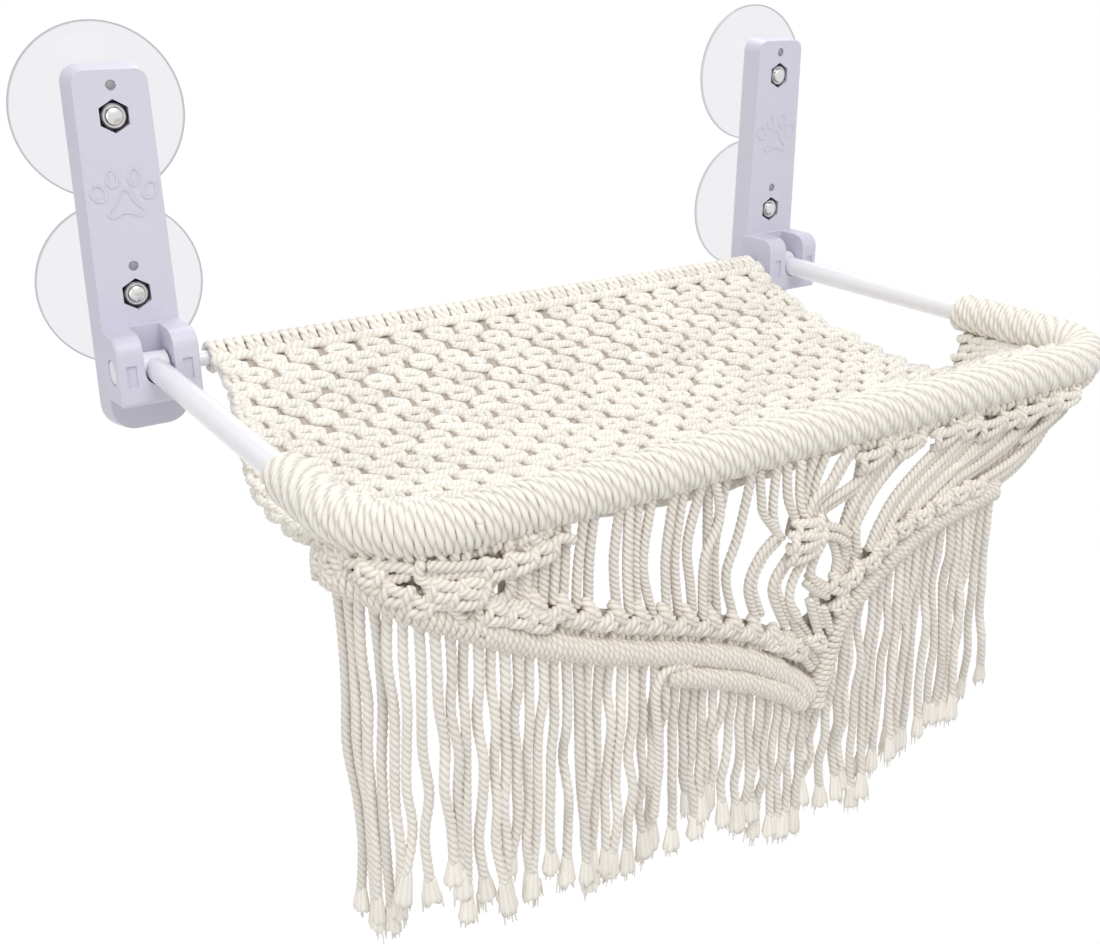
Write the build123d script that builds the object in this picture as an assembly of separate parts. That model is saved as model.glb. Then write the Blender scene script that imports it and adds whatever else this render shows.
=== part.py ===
from build123d import *
import math
import os

# Window mounted cat perch, in millimetres. The window pane is the plane y = 0, the room is
# on its -Y side, Z is up and X runs along the pane. The origin lies on the pane, midway
# between the two brackets and midway between the upper and the lower suction cups.

# Layout on the pane
bracket_pitch = 420.0
cut_overrun = 1.0
contact_gap = 0.3
fixed_gap = 0.05

# Suction cups
cup_diameter = 84.0
cup_gap = 1.0
cup_depth = 16.0
cup_rim = 1.5
cup_lip = 3.5
cup_flare = 1.6
cup_shoulder_radius = 25.0
cup_neck_radius = 21.0
cup_neck_length = 3.4
cup_hollow = 3.2
cup_hollow_share = 0.75

# Studs moulded into the cups
stud_diameter = 8.0
stud_hole_clearance = 0.25
stud_head_diameter = 18.0
stud_head_thickness = 2.4
stud_head_cover = 5.6
stud_chamfer = 0.8
stud_recess = 0.3

# Moulded bracket plate: its top above the upper nut, its foot below the hinge line
plate_thickness = 12.0
plate_skin = 3.0
plate_wall = 2.4
plate_head = 21.0
plate_foot = 35.0
plate_top_width = 35.0
plate_foot_width = 40.0
plate_top_radius = 6.0
plate_foot_radius = 12.0
plate_flare = 2.4
plate_rib = 1.6

# Nut pockets and peg holes
nut_across_flats = 13.0
nut_thickness = 6.5
nut_pocket_clearance = 0.35
nut_recess = 0.6
nut_boss_wall = 3.0
peg_offset = 14.1
peg_diameter = 4.4
peg_hole_clearance = 0.25
peg_boss_wall = 2.2
peg_recess = 0.8

# Hinge line, its rod and the eyes that turn on it
hinge_drop = 34.0
hinge_stand = 13.0
rod_diameter = 8.0
rod_running_gap = 0.07
rod_end_recess = 1.3
rod_chamfer = 0.8
knuckle_wall = 3.5
knuckle_width = 13.0
knuckle_collar = 1.0
spigot_length = 22.0
spigot_clearance = 0.1
spigot_bevel = 1.0
cap_wall = 2.2
cap_bevel = 0.5

# Clevis block round the hinge line
block_width = 40.2
block_rise = 19.0
block_fall = 15.5
block_top_radius = 8.5
block_foot_radius = 3.0
block_bevel = 1.0
front_wall = 3.5
eye_front_gap = 1.5
eye_back_gap = 2.0
eye_side_gap = 1.0
ear_window_width = 5.0
ear_window_height = 11.0
ear_window_depth = 1.2
ear_window_radius = 0.8
cap_clearance = 0.5
counterbore_depth = 5.0

# Paw ornament, a thin raised outline
paw_width = 32.0
paw_line = 1.1
paw_height = 0.5
paw_sides = 12

# Folding U frame
frame_reach = 289.0
tube_diameter = 12.0
tube_wall = 1.2
corner_radius = 38.0

# Cotton cord and its windings, with the length that is wound on each arm behind its corner
cord_diameter = 4.5
cord_sides = 6
roll_sides = 8
wound_wire = 4.1
wound_pitch = 4.6
wrap_thickness = 4.6
wrap_gap = 0.1
left_arm_wound = 44.0
right_arm_wound = 61.0
header_thickness = 4.4
header_end_gap = 5.0

# Knotted seat
seat_thickness = 8.0
seat_side_gap = 27.0
seat_joined = 37.0
seat_flare = 28.0
seat_flare_radius = 25.0
seat_edge_sag = 36.0
seat_middle_sag = 50.0

# Valance under the front bar, carried round both corners, further on the left
valance_thickness = 7.0
valance_lean = 4.0
valance_left_angle = 80.0
valance_right_angle = 40.0
valance_end_drop = 13.0
valance_drop = 124.0
valance_apex_x = 5.0
hem_diameter = 12.0
right_roll_reach = 122.0
right_roll_drop = 42.6
lower_hem_diameter = 10.0
lower_hem_length = 92.0
lower_hem_end_share = 0.75

# Open gaps between the valance's cords
gap_width = 3.6
gap_pitch = 13.0
gap_count = 7
gap_end_x = 53.0
gap_top_drop = 6.0
chevron_height = 14.0
wide_gap_width = 11.0
wide_gap_x = 37.0

# Fringe, with the levels that its ends reach below the frame
fringe_pitch = 5.6
fringe_gap = 0.5
fringe_left_drop = 176.0
fringe_middle_drop = 208.0
fringe_right_drop = 165.0
fringe_splay = 12.0
fringe_unevenness = 9.0
uneven_angle = 155.0
sway_angle = 109.0

# Sizes that follow from the ones above
cup_pitch = cup_diameter + cup_gap
cup_z = cup_pitch / 2
arm_x = bracket_pitch / 2
plate_rear_y = -cup_depth
plate_front_y = plate_rear_y - plate_thickness
pivot_y = plate_front_y - hinge_stand
pivot_z = -cup_z - hinge_drop
plate_top_z = cup_z + plate_head
plate_foot_z = pivot_z - plate_foot
cup_shoulder_y = plate_rear_y + cup_neck_length + cup_shoulder_radius - cup_neck_radius
stud_head_y = plate_rear_y + stud_head_cover + stud_head_thickness
pocket_radius = (nut_across_flats / 2 + nut_pocket_clearance) / math.cos(math.pi / 6)
pocket_depth = nut_recess + nut_thickness + fixed_gap
boss_radius = pocket_radius + nut_boss_wall
rod_radius = rod_diameter / 2
rod_hole_radius = rod_radius + rod_running_gap
knuckle_radius = rod_radius + knuckle_wall
cap_radius = rod_radius + cap_wall
slot_width = knuckle_width + 2 * eye_side_gap
slot_front_y = pivot_y - knuckle_radius - eye_front_gap
slot_back_y = pivot_y + knuckle_radius + eye_back_gap
slot_floor_z = pivot_z - knuckle_radius - eye_back_gap
block_front_y = slot_front_y - front_wall
block_top_z = pivot_z + block_rise
block_foot_z = pivot_z - block_fall
block_outer_x = arm_x + block_width / 2
tube_radius = tube_diameter / 2
front_y = -frame_reach
wrap_inner = tube_radius + wrap_gap
wrap_outer = tube_radius + wrap_thickness
header_inner = rod_radius + wrap_gap
header_outer = rod_radius + header_thickness
corner_x = arm_x - corner_radius
corner_y = front_y + corner_radius
tube_start_y = pivot_y - knuckle_radius - knuckle_collar
seat_rear_y = pivot_y - header_outer - contact_gap
seat_front_y = front_y + wrap_outer + contact_gap
seat_joined_y = corner_y + seat_joined
seat_flare_y = seat_joined_y + seat_flare
valance_radius = corner_radius + valance_lean
valance_y = front_y - valance_lean
valance_top_z = pivot_z - wrap_outer - contact_gap
valance_reach = corner_x + valance_radius * math.radians(valance_left_angle)
valance_left_x = corner_x + valance_radius * math.sin(math.radians(valance_left_angle))
valance_right_x = corner_x + valance_radius * math.sin(math.radians(valance_right_angle))
roll_end_z = valance_top_z - right_roll_drop

side_on = Plane(origin=(0, 0, 0), x_dir=(0, 1, 0), z_dir=(1, 0, 0))


def room_plane(y):
    """A drawing plane parallel to the pane at y, with its u along X and its v along Z."""
    return Plane(origin=(0, y, 0), x_dir=(1, 0, 0), z_dir=(0, -1, 0))


def pin(radius, near_y, far_y, x=0, z=0):
    """A round bar along Y from near_y, the end next to the pane, to far_y in the room."""
    return extrude(room_plane(near_y) * Pos(x, z) * Circle(radius), near_y - far_y)


def cross_pin(radius, low_x, high_x, y=pivot_y, z=pivot_z):
    """A round bar along X."""
    return extrude(Plane(origin=(low_x, y, z), z_dir=(1, 0, 0)) * Circle(radius), high_x - low_x)


def block(low, high):
    """A box between two corners."""
    size = [b - a for a, b in zip(low, high)]
    middle = [(a + b) / 2 for a, b in zip(low, high)]
    return Pos(*middle) * Box(*size)


def save(name, shapes):
    """Writes one node: a solid, or several separate ones as a group."""
    shapes = shapes if isinstance(shapes, list) else [shapes]
    solids = [s for shape in shapes for s in shape.solids()]
    node = solids[0] if len(solids) == 1 else Compound(children=solids)
    node.label = name
    export_step(node, f"parts/{name}.step")


def plate_outline(y, grow, rounding):
    """The plate's tall outline at y, grown all round, narrower at its top than at its foot."""
    top, foot = plate_top_z + grow, plate_foot_z - grow
    half_top, half_foot = plate_top_width / 2 + grow, plate_foot_width / 2 + grow
    corners = [(-half_top, top), (half_top, top), (half_foot, foot), (-half_foot, foot)]
    face = make_face(Polyline(*corners, close=True))
    upper = face.vertices().sort_by(Axis.Y)[2:]
    face = fillet(upper, plate_top_radius + rounding)
    lower = [v for v in face.vertices() if v.Y < foot + plate_foot_radius / 2]
    face = fillet(lower, plate_foot_radius + rounding)
    return room_plane(y) * face


def plate_shell():
    """The plate: a bevelled shell, open towards the pane, with bosses and ribs inside it."""
    body = loft([plate_outline(plate_rear_y, plate_flare, plate_flare),
                 plate_outline(plate_front_y, 0, 0)], ruled=True)
    hollow_front = plate_front_y + plate_skin
    hollow = loft([plate_outline(plate_rear_y, plate_flare - plate_wall, plate_flare - plate_wall),
                   plate_outline(hollow_front, -plate_wall, -plate_wall)], ruled=True)
    inside = [pin(boss_radius, plate_rear_y, hollow_front, 0, side * cup_z) for side in (-1, 1)]
    inside += [pin(peg_diameter / 2 + peg_boss_wall, plate_rear_y, hollow_front, 0, side * cup_z + peg_offset)
               for side in (-1, 1)]
    half = plate_foot_width
    inside += [block((-half, hollow_front, z - plate_rib / 2), (half, plate_rear_y, z + plate_rib / 2))
               for z in (0, pivot_z)]
    inside.append(block((-plate_rib / 2, hollow_front, plate_foot_z),
                        (plate_rib / 2, plate_rear_y, plate_top_z)))
    return (body - hollow) + (Part() + inside) & body


def clevis_block():
    """The block that carries the hinge, before its slot: a rounded profile drawn out along X."""
    points = [(plate_front_y + plate_skin, block_top_z), (block_front_y, block_top_z),
              (block_front_y, block_foot_z),
              (plate_front_y + plate_skin, block_foot_z - block_foot_radius)]
    face = make_face(Polyline(*points, close=True))
    front = face.vertices().sort_by(Axis.X)[:2].sort_by(Axis.Y)
    face = fillet(front[1:], block_top_radius)
    foot = [v for v in face.vertices() if v.X < block_front_y + fixed_gap and v.Y < pivot_z]
    face = fillet(foot, block_foot_radius)
    solid = extrude(side_on.offset(-block_width / 2) * face, block_width)
    rim = [e for e in solid.edges() if e.center().Y < plate_front_y - block_bevel * 2
           and abs(abs(e.center().X) - block_width / 2) < fixed_gap]
    return chamfer(rim, block_bevel)


def clevis_cuts():
    """The slot for the arm, its cradle through the front wall, and the ear windows."""
    half = slot_width / 2
    top = block_top_z + block_top_radius
    slot = block((-half, slot_front_y, slot_floor_z), (half, slot_back_y, top))
    cradle_z = pivot_z - tube_radius - contact_gap + half
    mouth = block((-half, block_front_y - cut_overrun, cradle_z), (half, slot_front_y + cut_overrun, top))
    cradle = pin(half, slot_front_y + cut_overrun, block_front_y - cut_overrun, 0, cradle_z)
    window = RectangleRounded(ear_window_width, ear_window_height, ear_window_radius)
    window_x = half + (block_width / 2 - half) / 2
    windows = [extrude(room_plane(block_front_y + ear_window_depth) * Pos(side * window_x, pivot_z) * window,
                       ear_window_depth + cut_overrun) for side in (-1, 1)]
    return [slot, mouth, cradle] + windows


# Centre across and up, half width, half height as shares of the paw's width, and the tilt in degrees
paw_toe_shares = [(-0.38, 0.24, 0.12, 0.15, 32), (-0.165, 0.445, 0.1, 0.15, 6),
                  (0.165, 0.445, 0.1, 0.15, -6), (0.38, 0.24, 0.12, 0.15, -32)]
# The right half of the three-lobed pad from its top to the notch below, as shares of the paw's width
paw_pad_shares = [(0, 0.297), (0.06, 0.278), (0.097, 0.225), (0.113, 0.163), (0.185, 0.053), (0.272, -0.019),
                  (0.29, -0.081), (0.253, -0.138), (0.185, -0.15), (0.08, -0.1), (0, -0.085)]


def oval(half_width, half_height):
    """An oval drawn with short straight sides."""
    turns = [2 * math.pi * i / paw_sides for i in range(paw_sides)]
    return make_face(Polyline(*[(half_width * math.sin(t), half_height * math.cos(t)) for t in turns],
                              close=True))


def paw_outline():
    """Four oval toes over a three-lobed pad, each as a raised line."""
    rings = []
    for across, up, wide, high, tilt in paw_toe_shares:
        ring = oval(paw_width * wide, paw_width * high)
        ring -= oval(paw_width * wide - paw_line, paw_width * high - paw_line)
        rings.append(Pos(paw_width * across, paw_width * up) * Rot(0, 0, tilt) * ring)
    right = [(paw_width * x, paw_width * z) for x, z in paw_pad_shares]
    left = [(-x, z) for x, z in right[-2:0:-1]]
    pad = make_face(Polyline(*right, *left, close=True))
    rings.append(pad - offset(pad, -paw_line, kind=Kind.INTERSECTION))
    return [extrude(room_plane(plate_front_y + fixed_gap) * ring, paw_height + fixed_gap) for ring in rings]


def bracket(side):
    """One moulded bracket, the left one for side -1 and the right one for side 1."""
    solid = plate_shell() + clevis_block()
    solid += paw_outline()
    cuts = clevis_cuts()
    for cup_side in (-1, 1):
        z = cup_side * cup_z
        pocket = Rot(0, 0, 90) * RegularPolygon(pocket_radius, 6)
        cuts.append(extrude(room_plane(plate_front_y + pocket_depth) * Pos(0, z) * pocket,
                            pocket_depth + cut_overrun))
        cuts.append(pin(stud_diameter / 2 + stud_hole_clearance, plate_rear_y + cut_overrun,
                        plate_front_y, 0, z))
        cuts.append(pin(peg_diameter / 2 + peg_hole_clearance, plate_rear_y + cut_overrun,
                        plate_front_y - cut_overrun, 0, z + peg_offset))
    far = block_width / 2
    cuts.append(cross_pin(rod_hole_radius, -far - cut_overrun, far + cut_overrun))
    deep = far - counterbore_depth
    ends = (deep, far + cut_overrun) if side > 0 else (-far - cut_overrun, -deep)
    cuts.append(cross_pin(cap_radius + cap_clearance, *ends))
    return Pos(side * arm_x, 0, 0) * (solid - cuts)


def stud(x, z):
    """A cup's threaded stud: a disc inside the cup's neck and a shank through the bracket."""
    end_y = plate_front_y + stud_recess
    shank = pin(stud_diameter / 2, stud_head_y, end_y, 0, 0)
    tip = [e for e in shank.edges() if abs(e.center().Y - end_y) < fixed_gap]
    shank = chamfer(tip, stud_chamfer)
    head = pin(stud_head_diameter / 2, stud_head_y, stud_head_y - stud_head_thickness)
    return Pos(x, 0, z) * (shank + head)


def nut(x, z):
    """A hexagon nut in its pocket, with one corner up and its front corners bevelled."""
    front = plate_front_y + nut_recess
    corner = nut_across_flats / 2 / math.cos(math.pi / 6)
    prism = extrude(room_plane(front + nut_thickness) * (Rot(0, 0, 90) * RegularPolygon(corner, 6)),
                    nut_thickness)
    bevel_run = corner - nut_across_flats / 2
    cone = Cone(corner + nut_thickness - bevel_run, nut_across_flats / 2, nut_thickness)
    cone = Pos(0, front + nut_thickness / 2, 0) * Rot(90, 0, 0) * cone
    hole = pin(stud_diameter / 2 + fixed_gap, front + nut_thickness + cut_overrun, front - cut_overrun)
    return Pos(x, 0, z) * ((prism & cone) - hole)


def suction_cup(x, z):
    """A clear cup: a thin domed disc, a neck against the bracket and a locating peg."""
    rim, lip = cup_diameter / 2, cup_diameter / 2 - cup_lip
    waist = ((rim + cup_shoulder_radius) / 2 + cup_flare, (cup_shoulder_y - cup_rim) / 2 + cup_flare)
    dome = ThreePointArc((rim, -cup_rim), waist, (cup_shoulder_radius, cup_shoulder_y))
    bell = ThreePointArc((0, -cup_hollow), (lip / 2, -cup_hollow * cup_hollow_share), (lip, 0))
    neck = Polyline((cup_shoulder_radius, cup_shoulder_y),
                    (cup_neck_radius, cup_shoulder_y - cup_shoulder_radius + cup_neck_radius),
                    (cup_neck_radius, plate_rear_y), (0, plate_rear_y), (0, -cup_hollow))
    edge = Line((rim, 0), (rim, -cup_rim))
    contact = Line((lip, 0), (rim, 0))
    profile = make_face(Curve() + [edge, dome, neck, bell, contact])
    peg = pin(peg_diameter / 2, plate_rear_y + cut_overrun, plate_front_y + peg_recess, 0, peg_offset)
    solid = revolve(profile, Axis.Y) + peg
    return Pos(x, 0, z) * solid - stud(x, z)


def frame_path():
    """The centreline of the U frame, from the left arm's hinged end to the right arm's."""
    corners = [(-arm_x, tube_start_y, pivot_z), (-arm_x, front_y, pivot_z),
               (arm_x, front_y, pivot_z), (arm_x, tube_start_y, pivot_z)]
    return FilletPolyline(*corners, radius=corner_radius)


def frame_tube():
    """The steel tube, bent at its two front corners."""
    ring = Circle(tube_radius) - Circle(tube_radius - tube_wall)
    start = Plane(origin=(-arm_x, tube_start_y, pivot_z), z_dir=(0, -1, 0))
    return sweep(start * ring, path=frame_path())


def arm_knuckle(side):
    """A moulded eye round the hinge rod, with a spigot pushed into the end of the tube."""
    x = side * arm_x
    eye = cross_pin(knuckle_radius, x - knuckle_width / 2, x + knuckle_width / 2)
    collar = pin(tube_radius, pivot_y, tube_start_y, x, pivot_z)
    spigot = pin(tube_radius - tube_wall - spigot_clearance, pivot_y, tube_start_y - spigot_length,
                 x, pivot_z)
    tip = [e for e in spigot.edges() if e.center().Y < tube_start_y - spigot_length / 2]
    spigot = chamfer([e for e in tip if e.geom_type == GeomType.CIRCLE], spigot_bevel)
    bore = cross_pin(rod_radius + fixed_gap, x - knuckle_width, x + knuckle_width)
    return eye + collar + spigot - bore


def hinge_rod():
    """The steel rod that both arms turn on and that carries the back edge of the seat."""
    end = block_outer_x - rod_end_recess
    rod = cross_pin(rod_radius, -end, end)
    return chamfer(rod.edges().filter_by(GeomType.CIRCLE), rod_chamfer)


def rod_end_cap(side):
    """A domed cap pushed on the rod's end, inside the bracket's counterbore."""
    floor = block_outer_x - counterbore_depth + contact_gap
    rod_end = block_outer_x - rod_end_recess
    outer = block_outer_x - contact_gap
    cap = cross_pin(cap_radius, floor, outer)
    rim = [e for e in cap.edges() if abs(e.center().X - outer) < fixed_gap]
    cap = chamfer(rim, cap_bevel)
    cap -= cross_pin(rod_radius + fixed_gap, floor - cut_overrun, rod_end + fixed_gap)
    return cap if side > 0 else mirror(cap, about=Plane.YZ)


def sleeve(inner, outer, low_x, high_x, y, z):
    """A winding drawn as its plain outer form, along X."""
    return cross_pin(outer, low_x, high_x, y, z) - cross_pin(inner, low_x, high_x, y, z)


def corner_wrap(side):
    """The winding round one bent corner of the tube."""
    ring = Circle(wrap_outer) - Circle(wrap_inner)
    start = Plane(origin=(side * corner_x, front_y, pivot_z), z_dir=(1, 0, 0)) * ring
    return revolve(start, Axis((side * corner_x, corner_y, 0), (0, 0, 1)), 90 * side)


def winding(side, length):
    """The turns of cord on one arm: one unbroken tube round the bare tube.

    Each half turn is an arc in a plane tilted so that it climbs half a pitch, and at both
    its ends the arc runs square to the tube, so that the next one carries on smoothly.
    """
    radius = tube_radius + contact_gap + wound_wire / 2
    first_y = corner_y + contact_gap + wound_wire / 2
    turns = int((corner_y + length - first_y - wound_wire / 2) / wound_pitch)
    x = side * arm_x
    arcs = []
    for i in range(2 * turns):
        y, turned = first_y + wound_pitch * i / 2, 1 - 2 * (i % 2)
        arcs.append(ThreePointArc((x + radius * turned, y, pivot_z),
                                  (x, y + wound_pitch / 4, pivot_z + radius * turned),
                                  (x - radius * turned, y + wound_pitch / 2, pivot_z)))
    path = Wire(arcs)
    own_gap = wound_pitch * math.cos(math.atan(wound_pitch / 4 / radius)) - wound_wire
    print(f"winding on arm {side:+d}: {turns} turns, least gap to itself {own_gap:.2f} mm")
    section = Plane(origin=path @ 0, z_dir=path % 0) * RegularPolygon(wound_wire / 2, cord_sides)
    return sweep(section, path=path)


# Along the seat from its back edge: how far, the drop at the side and the drop in the middle,
# all as shares of the seat's depth and of its two sags
seat_station_shares = [(0.0, 0.0, 0.0), (0.12, 0.32, 0.30), (0.30, 0.76, 0.72), (0.50, 1.0, 0.97),
                       (0.66, 0.86, 1.0), (0.80, 0.34, 0.86), (0.92, 0.06, 0.46), (1.0, 0.0, 0.02)]


def seat_outline():
    """The seat in plan: straight sides, flared out to the wound arms and round at the front."""
    rear, wide = arm_x - seat_side_gap, arm_x - wrap_outer - contact_gap * 2
    corners = [(rear, seat_rear_y), (rear, seat_flare_y), (wide, seat_joined_y), (wide, seat_front_y)]
    face = make_face(Polyline(*corners, *[(-x, y) for x, y in reversed(corners)], close=True))
    flares = [v for v in face.vertices() if seat_joined_y - fixed_gap < v.Y < seat_flare_y + fixed_gap]
    face = fillet(flares, seat_flare_radius)
    front = [v for v in face.vertices() if v.Y < seat_front_y + fixed_gap]
    return fillet(front, corner_radius - wrap_outer)


def seat_panel():
    """The knotted seat, hung like a hammock: a loft through sagging arcs, cut to its outline."""
    sections = []
    half, up = arm_x, seat_thickness / 2
    start_y, end_y = seat_rear_y + cut_overrun, seat_front_y - cut_overrun
    for along, edge, middle in seat_station_shares:
        y = start_y + (end_y - start_y) * along
        edge_z = pivot_z - seat_edge_sag * edge
        middle_z = pivot_z - seat_middle_sag * middle - fixed_gap
        top = ThreePointArc((-half, edge_z + up), (0, middle_z + up), (half, edge_z + up))
        foot = ThreePointArc((half, edge_z - up), (0, middle_z - up), (-half, edge_z - up))
        sides = [Line((x, edge_z + up), (x, edge_z - up)) for x in (half, -half)]
        sections.append(room_plane(y) * make_face(Curve() + [top, sides[0], foot, sides[1]]))
    deep = seat_middle_sag * 2
    cutter = extrude(Plane.XY.offset(pivot_z - deep) * seat_outline(), deep * 2)
    return loft(sections) & cutter


# The hem's left line, from its end at the corner to the apex: across as a share of the way to
# the apex, and down as a share of the valance's drop
left_hem_shares = [(0.0, 0.0), (0.124, 0.10), (0.188, 0.175), (0.36, 0.345), (0.54, 0.487),
                   (0.74, 0.637), (0.853, 0.743), (1.0, 1.0)]

# The right line the same way, from the outer end of its roll to the apex
right_hem_shares = [(0.0, 0.0), (0.325, 0.074), (0.547, 0.184), (0.718, 0.332), (0.85, 0.479),
                    (0.915, 0.725), (1.0, 1.0)]

# The valance's free edge from that roll's end to the right corner: across as a share of the way,
# and up as a share of the way to the valance's top
free_edge_shares = [(0.09, 0.125), (0.234, 0.228), (0.382, 0.437), (0.436, 0.641), (0.636, 0.768),
                    (1.0, 0.768)]


def hem_points(side):
    """The hem's centreline seen from the front, from its outer end down to the apex of the V."""
    apex_z = valance_top_z - valance_drop
    if side < 0:
        end_x, end_z, shares = -valance_left_x, valance_top_z - valance_end_drop, left_hem_shares
    else:
        end_x, end_z, shares = right_roll_reach, roll_end_z, right_hem_shares
    return [(end_x + (valance_apex_x - end_x) * across, end_z + (apex_z - end_z) * down)
            for across, down in shares]


def free_edge():
    """The valance's lower edge beyond the right roll, out to the corner."""
    run = valance_right_x - right_roll_reach
    return [(right_roll_reach + run * across, roll_end_z + right_roll_drop * up)
            for across, up in free_edge_shares]


def line_height(points, x):
    """The height of a line of points at x, level beyond its ends."""
    points = sorted(points)
    for (x0, z0), (x1, z1) in zip(points, points[1:]):
        if x0 <= x <= x1:
            return z0 + (z1 - z0) * (x - x0) / (x1 - x0)
    return points[0][1] if x < points[0][0] else points[-1][1]


def skirt_place(along):
    """Where the skirt hangs at a distance along the frame from its middle: straight, then round."""
    turn = max(abs(along) - corner_x, 0) / valance_radius
    x = min(abs(along), corner_x) + valance_radius * math.sin(turn)
    return math.copysign(x, along), corner_y - valance_radius * math.cos(turn)


def room_below(points, along, radius):
    """How far below a line's height a hanging cord can start there, clear of a roll along the line."""
    heights = [line_height(points, skirt_place(along + step)[0]) for step in (-fringe_pitch, 0, fringe_pitch)]
    rise = max(abs(heights[0] - heights[1]), abs(heights[2] - heights[1])) / fringe_pitch
    return (radius + fringe_gap) * math.hypot(1, rise) + cord_diameter / 2 * rise


def depth_at(x):
    """How far into the room the skirt's middle lies at x."""
    beyond = max(abs(x) - corner_x, 0)
    return corner_y - math.sqrt(max(valance_radius ** 2 - beyond ** 2, 0))


def gap(x, top_z, foot_z, width, lean=0):
    """An open gap between two cords, as a cutter through the panel: tall, with rounded ends."""
    height = math.hypot(top_z - foot_z, lean)
    tilt = math.degrees(math.atan2(lean, top_z - foot_z))
    slot = Pos(x, (top_z + foot_z) / 2) * Rot(0, 0, -tilt) * SlotOverall(height, width, rotation=90)
    return extrude(room_plane(valance_y + valance_thickness) * slot, valance_thickness * 2)


# Other openings of the valance: the middle across as a share of the valance's drop from the apex,
# the top and the foot as shares of its drop, the lean as a share of it, and the width as a share
# of the wide gap's
odd_gap_shares = [(-0.007, 0.33, 0.46, 0.0, 0.75), (0.39, 0.07, 0.33, 0.25, 0.55),
                  (0.115, 0.15, 0.25, 0.04, 0.28)]


def valance_gaps():
    """The gaps between the hanging cords on the left, the wide one next to them, and the odd ones."""
    line, top_z = hem_points(-1), valance_top_z - gap_top_drop
    gaps = []
    for i in range(gap_count):
        x = -gap_end_x - i * gap_pitch
        gaps.append(gap(x, top_z, line_height(line, x) + hem_diameter / 2 + chevron_height, gap_width))
    foot_z = line_height(line, -wide_gap_x - wide_gap_width / 2) + hem_diameter / 2 + chevron_height
    gaps.append(gap(-wide_gap_x, top_z, foot_z, wide_gap_width))
    for across, top, foot, lean, width in odd_gap_shares:
        gaps.append(gap(valance_apex_x + valance_drop * across, valance_top_z - valance_drop * top,
                        valance_top_z - valance_drop * foot, wide_gap_width * width, valance_drop * lean))
    return gaps


def valance():
    """The open panel between the front bar and the hem: a band round the frame, cut to the hem."""
    thick = valance_thickness / 2
    band = Pos(0, valance_y) * Rectangle(corner_x * 2, valance_thickness)
    for side, angle in ((-1, valance_left_angle), (1, valance_right_angle)):
        ring = Circle(valance_radius + thick) - Circle(valance_radius - thick)
        far = valance_radius * 2
        wedge = make_face(Polyline((0, 0), (0, -far), (side * far, -far),
                                   (side * far, -far / math.tan(math.radians(angle))), close=True))
        band += Pos(side * corner_x, corner_y) * (ring & wedge)
    left, right, free = hem_points(-1), hem_points(1)[-2::-1], free_edge()
    beyond = valance_left_x + valance_thickness
    front = make_face(Polyline((-beyond, valance_top_z), (-beyond, left[0][1]), *left, *right, *free,
                               (beyond, free[-1][1]), (beyond, valance_top_z), close=True))
    height = valance_drop * 2
    panel = extrude(Plane.XY.offset(valance_top_z - height) * band, height) & extrude(
        room_plane(0) * front, -front_y * 2)
    return panel - [hem_roll(side, contact_gap) for side in (-1, 1)] - valance_gaps()


def roll(places, diameter):
    """A knotted roll: a many-sided bar along straight runs with rounded turns."""
    path = FilletPolyline(*places, radius=diameter)
    section = Plane(origin=places[0], x_dir=(0, -1, 0), z_dir=path % 0)
    return sweep(section * RegularPolygon(diameter / 2, roll_sides), path=path)


def hem_roll(side, grown=0):
    """The thick roll along one side of the V, from the corner of the frame to the apex."""
    points = hem_points(side)
    (x0, z0), (x1, z1) = points[-2:]
    short = hem_diameter / math.hypot(x1 - x0, z1 - z0) if side > 0 else 0
    points[-1] = (x1 - (x1 - x0) * short, z1 - (z1 - z0) * short)
    return roll([(x, depth_at(x), z) for x, z in points], hem_diameter + grown * 2)


def lower_hem_points():
    """The lower roll's centreline: the hem's left side again, moved square to itself."""
    apart = (hem_diameter + lower_hem_diameter) / 2 + contact_gap
    upper = hem_points(-1)
    end_x = upper[-2][0] + (upper[-1][0] - upper[-2][0]) * lower_hem_end_share
    xs = [end_x - lower_hem_length, upper[-3][0], upper[-2][0], end_x]
    middle = [(x, line_height(upper, x)) for x in xs]
    line = []
    for i, (x, z) in enumerate(middle):
        (xa, za), (xb, zb) = middle[max(i - 1, 0)], middle[min(i + 1, len(middle) - 1)]
        run = math.hypot(xb - xa, zb - za)
        before = math.atan2(z - za, x - xa) if i else math.atan2(zb - z, xb - x)
        after = math.atan2(zb - z, xb - x) if i < len(middle) - 1 else before
        wide = apart / math.cos((after - before) / 2)
        line.append((x + (zb - za) / run * wide, z - (xb - xa) / run * wide))
    return line


def lower_hem_roll():
    """The short second roll under the left side of the V, next to the apex."""
    return roll([(x, valance_y, z) for x, z in lower_hem_points()], lower_hem_diameter)


# Down a cord: how far, its sway and its outward splay as shares, and its width as a share
fringe_station_shares = [(0.0, 0.0, 0.0, 1.0), (0.55, 1.0, 0.4, 1.0), (1.0, 0.5, 1.0, 1.15)]


def fringe_cord(x, y, top_z, end_z, sway, splay):
    """One hanging cord: a few-sided bar with a slight bend, a little wider at its brushed end."""
    rings = []
    for down, swayed, splayed, wide in fringe_station_shares:
        place = Plane(origin=(x + sway * swayed + splay * splayed, y, top_z - (top_z - end_z) * down),
                      z_dir=(0, 0, -1))
        rings.append(place * RegularPolygon(cord_diameter / 2 * wide, cord_sides))
    return loft(rings, ruled=True)


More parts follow.
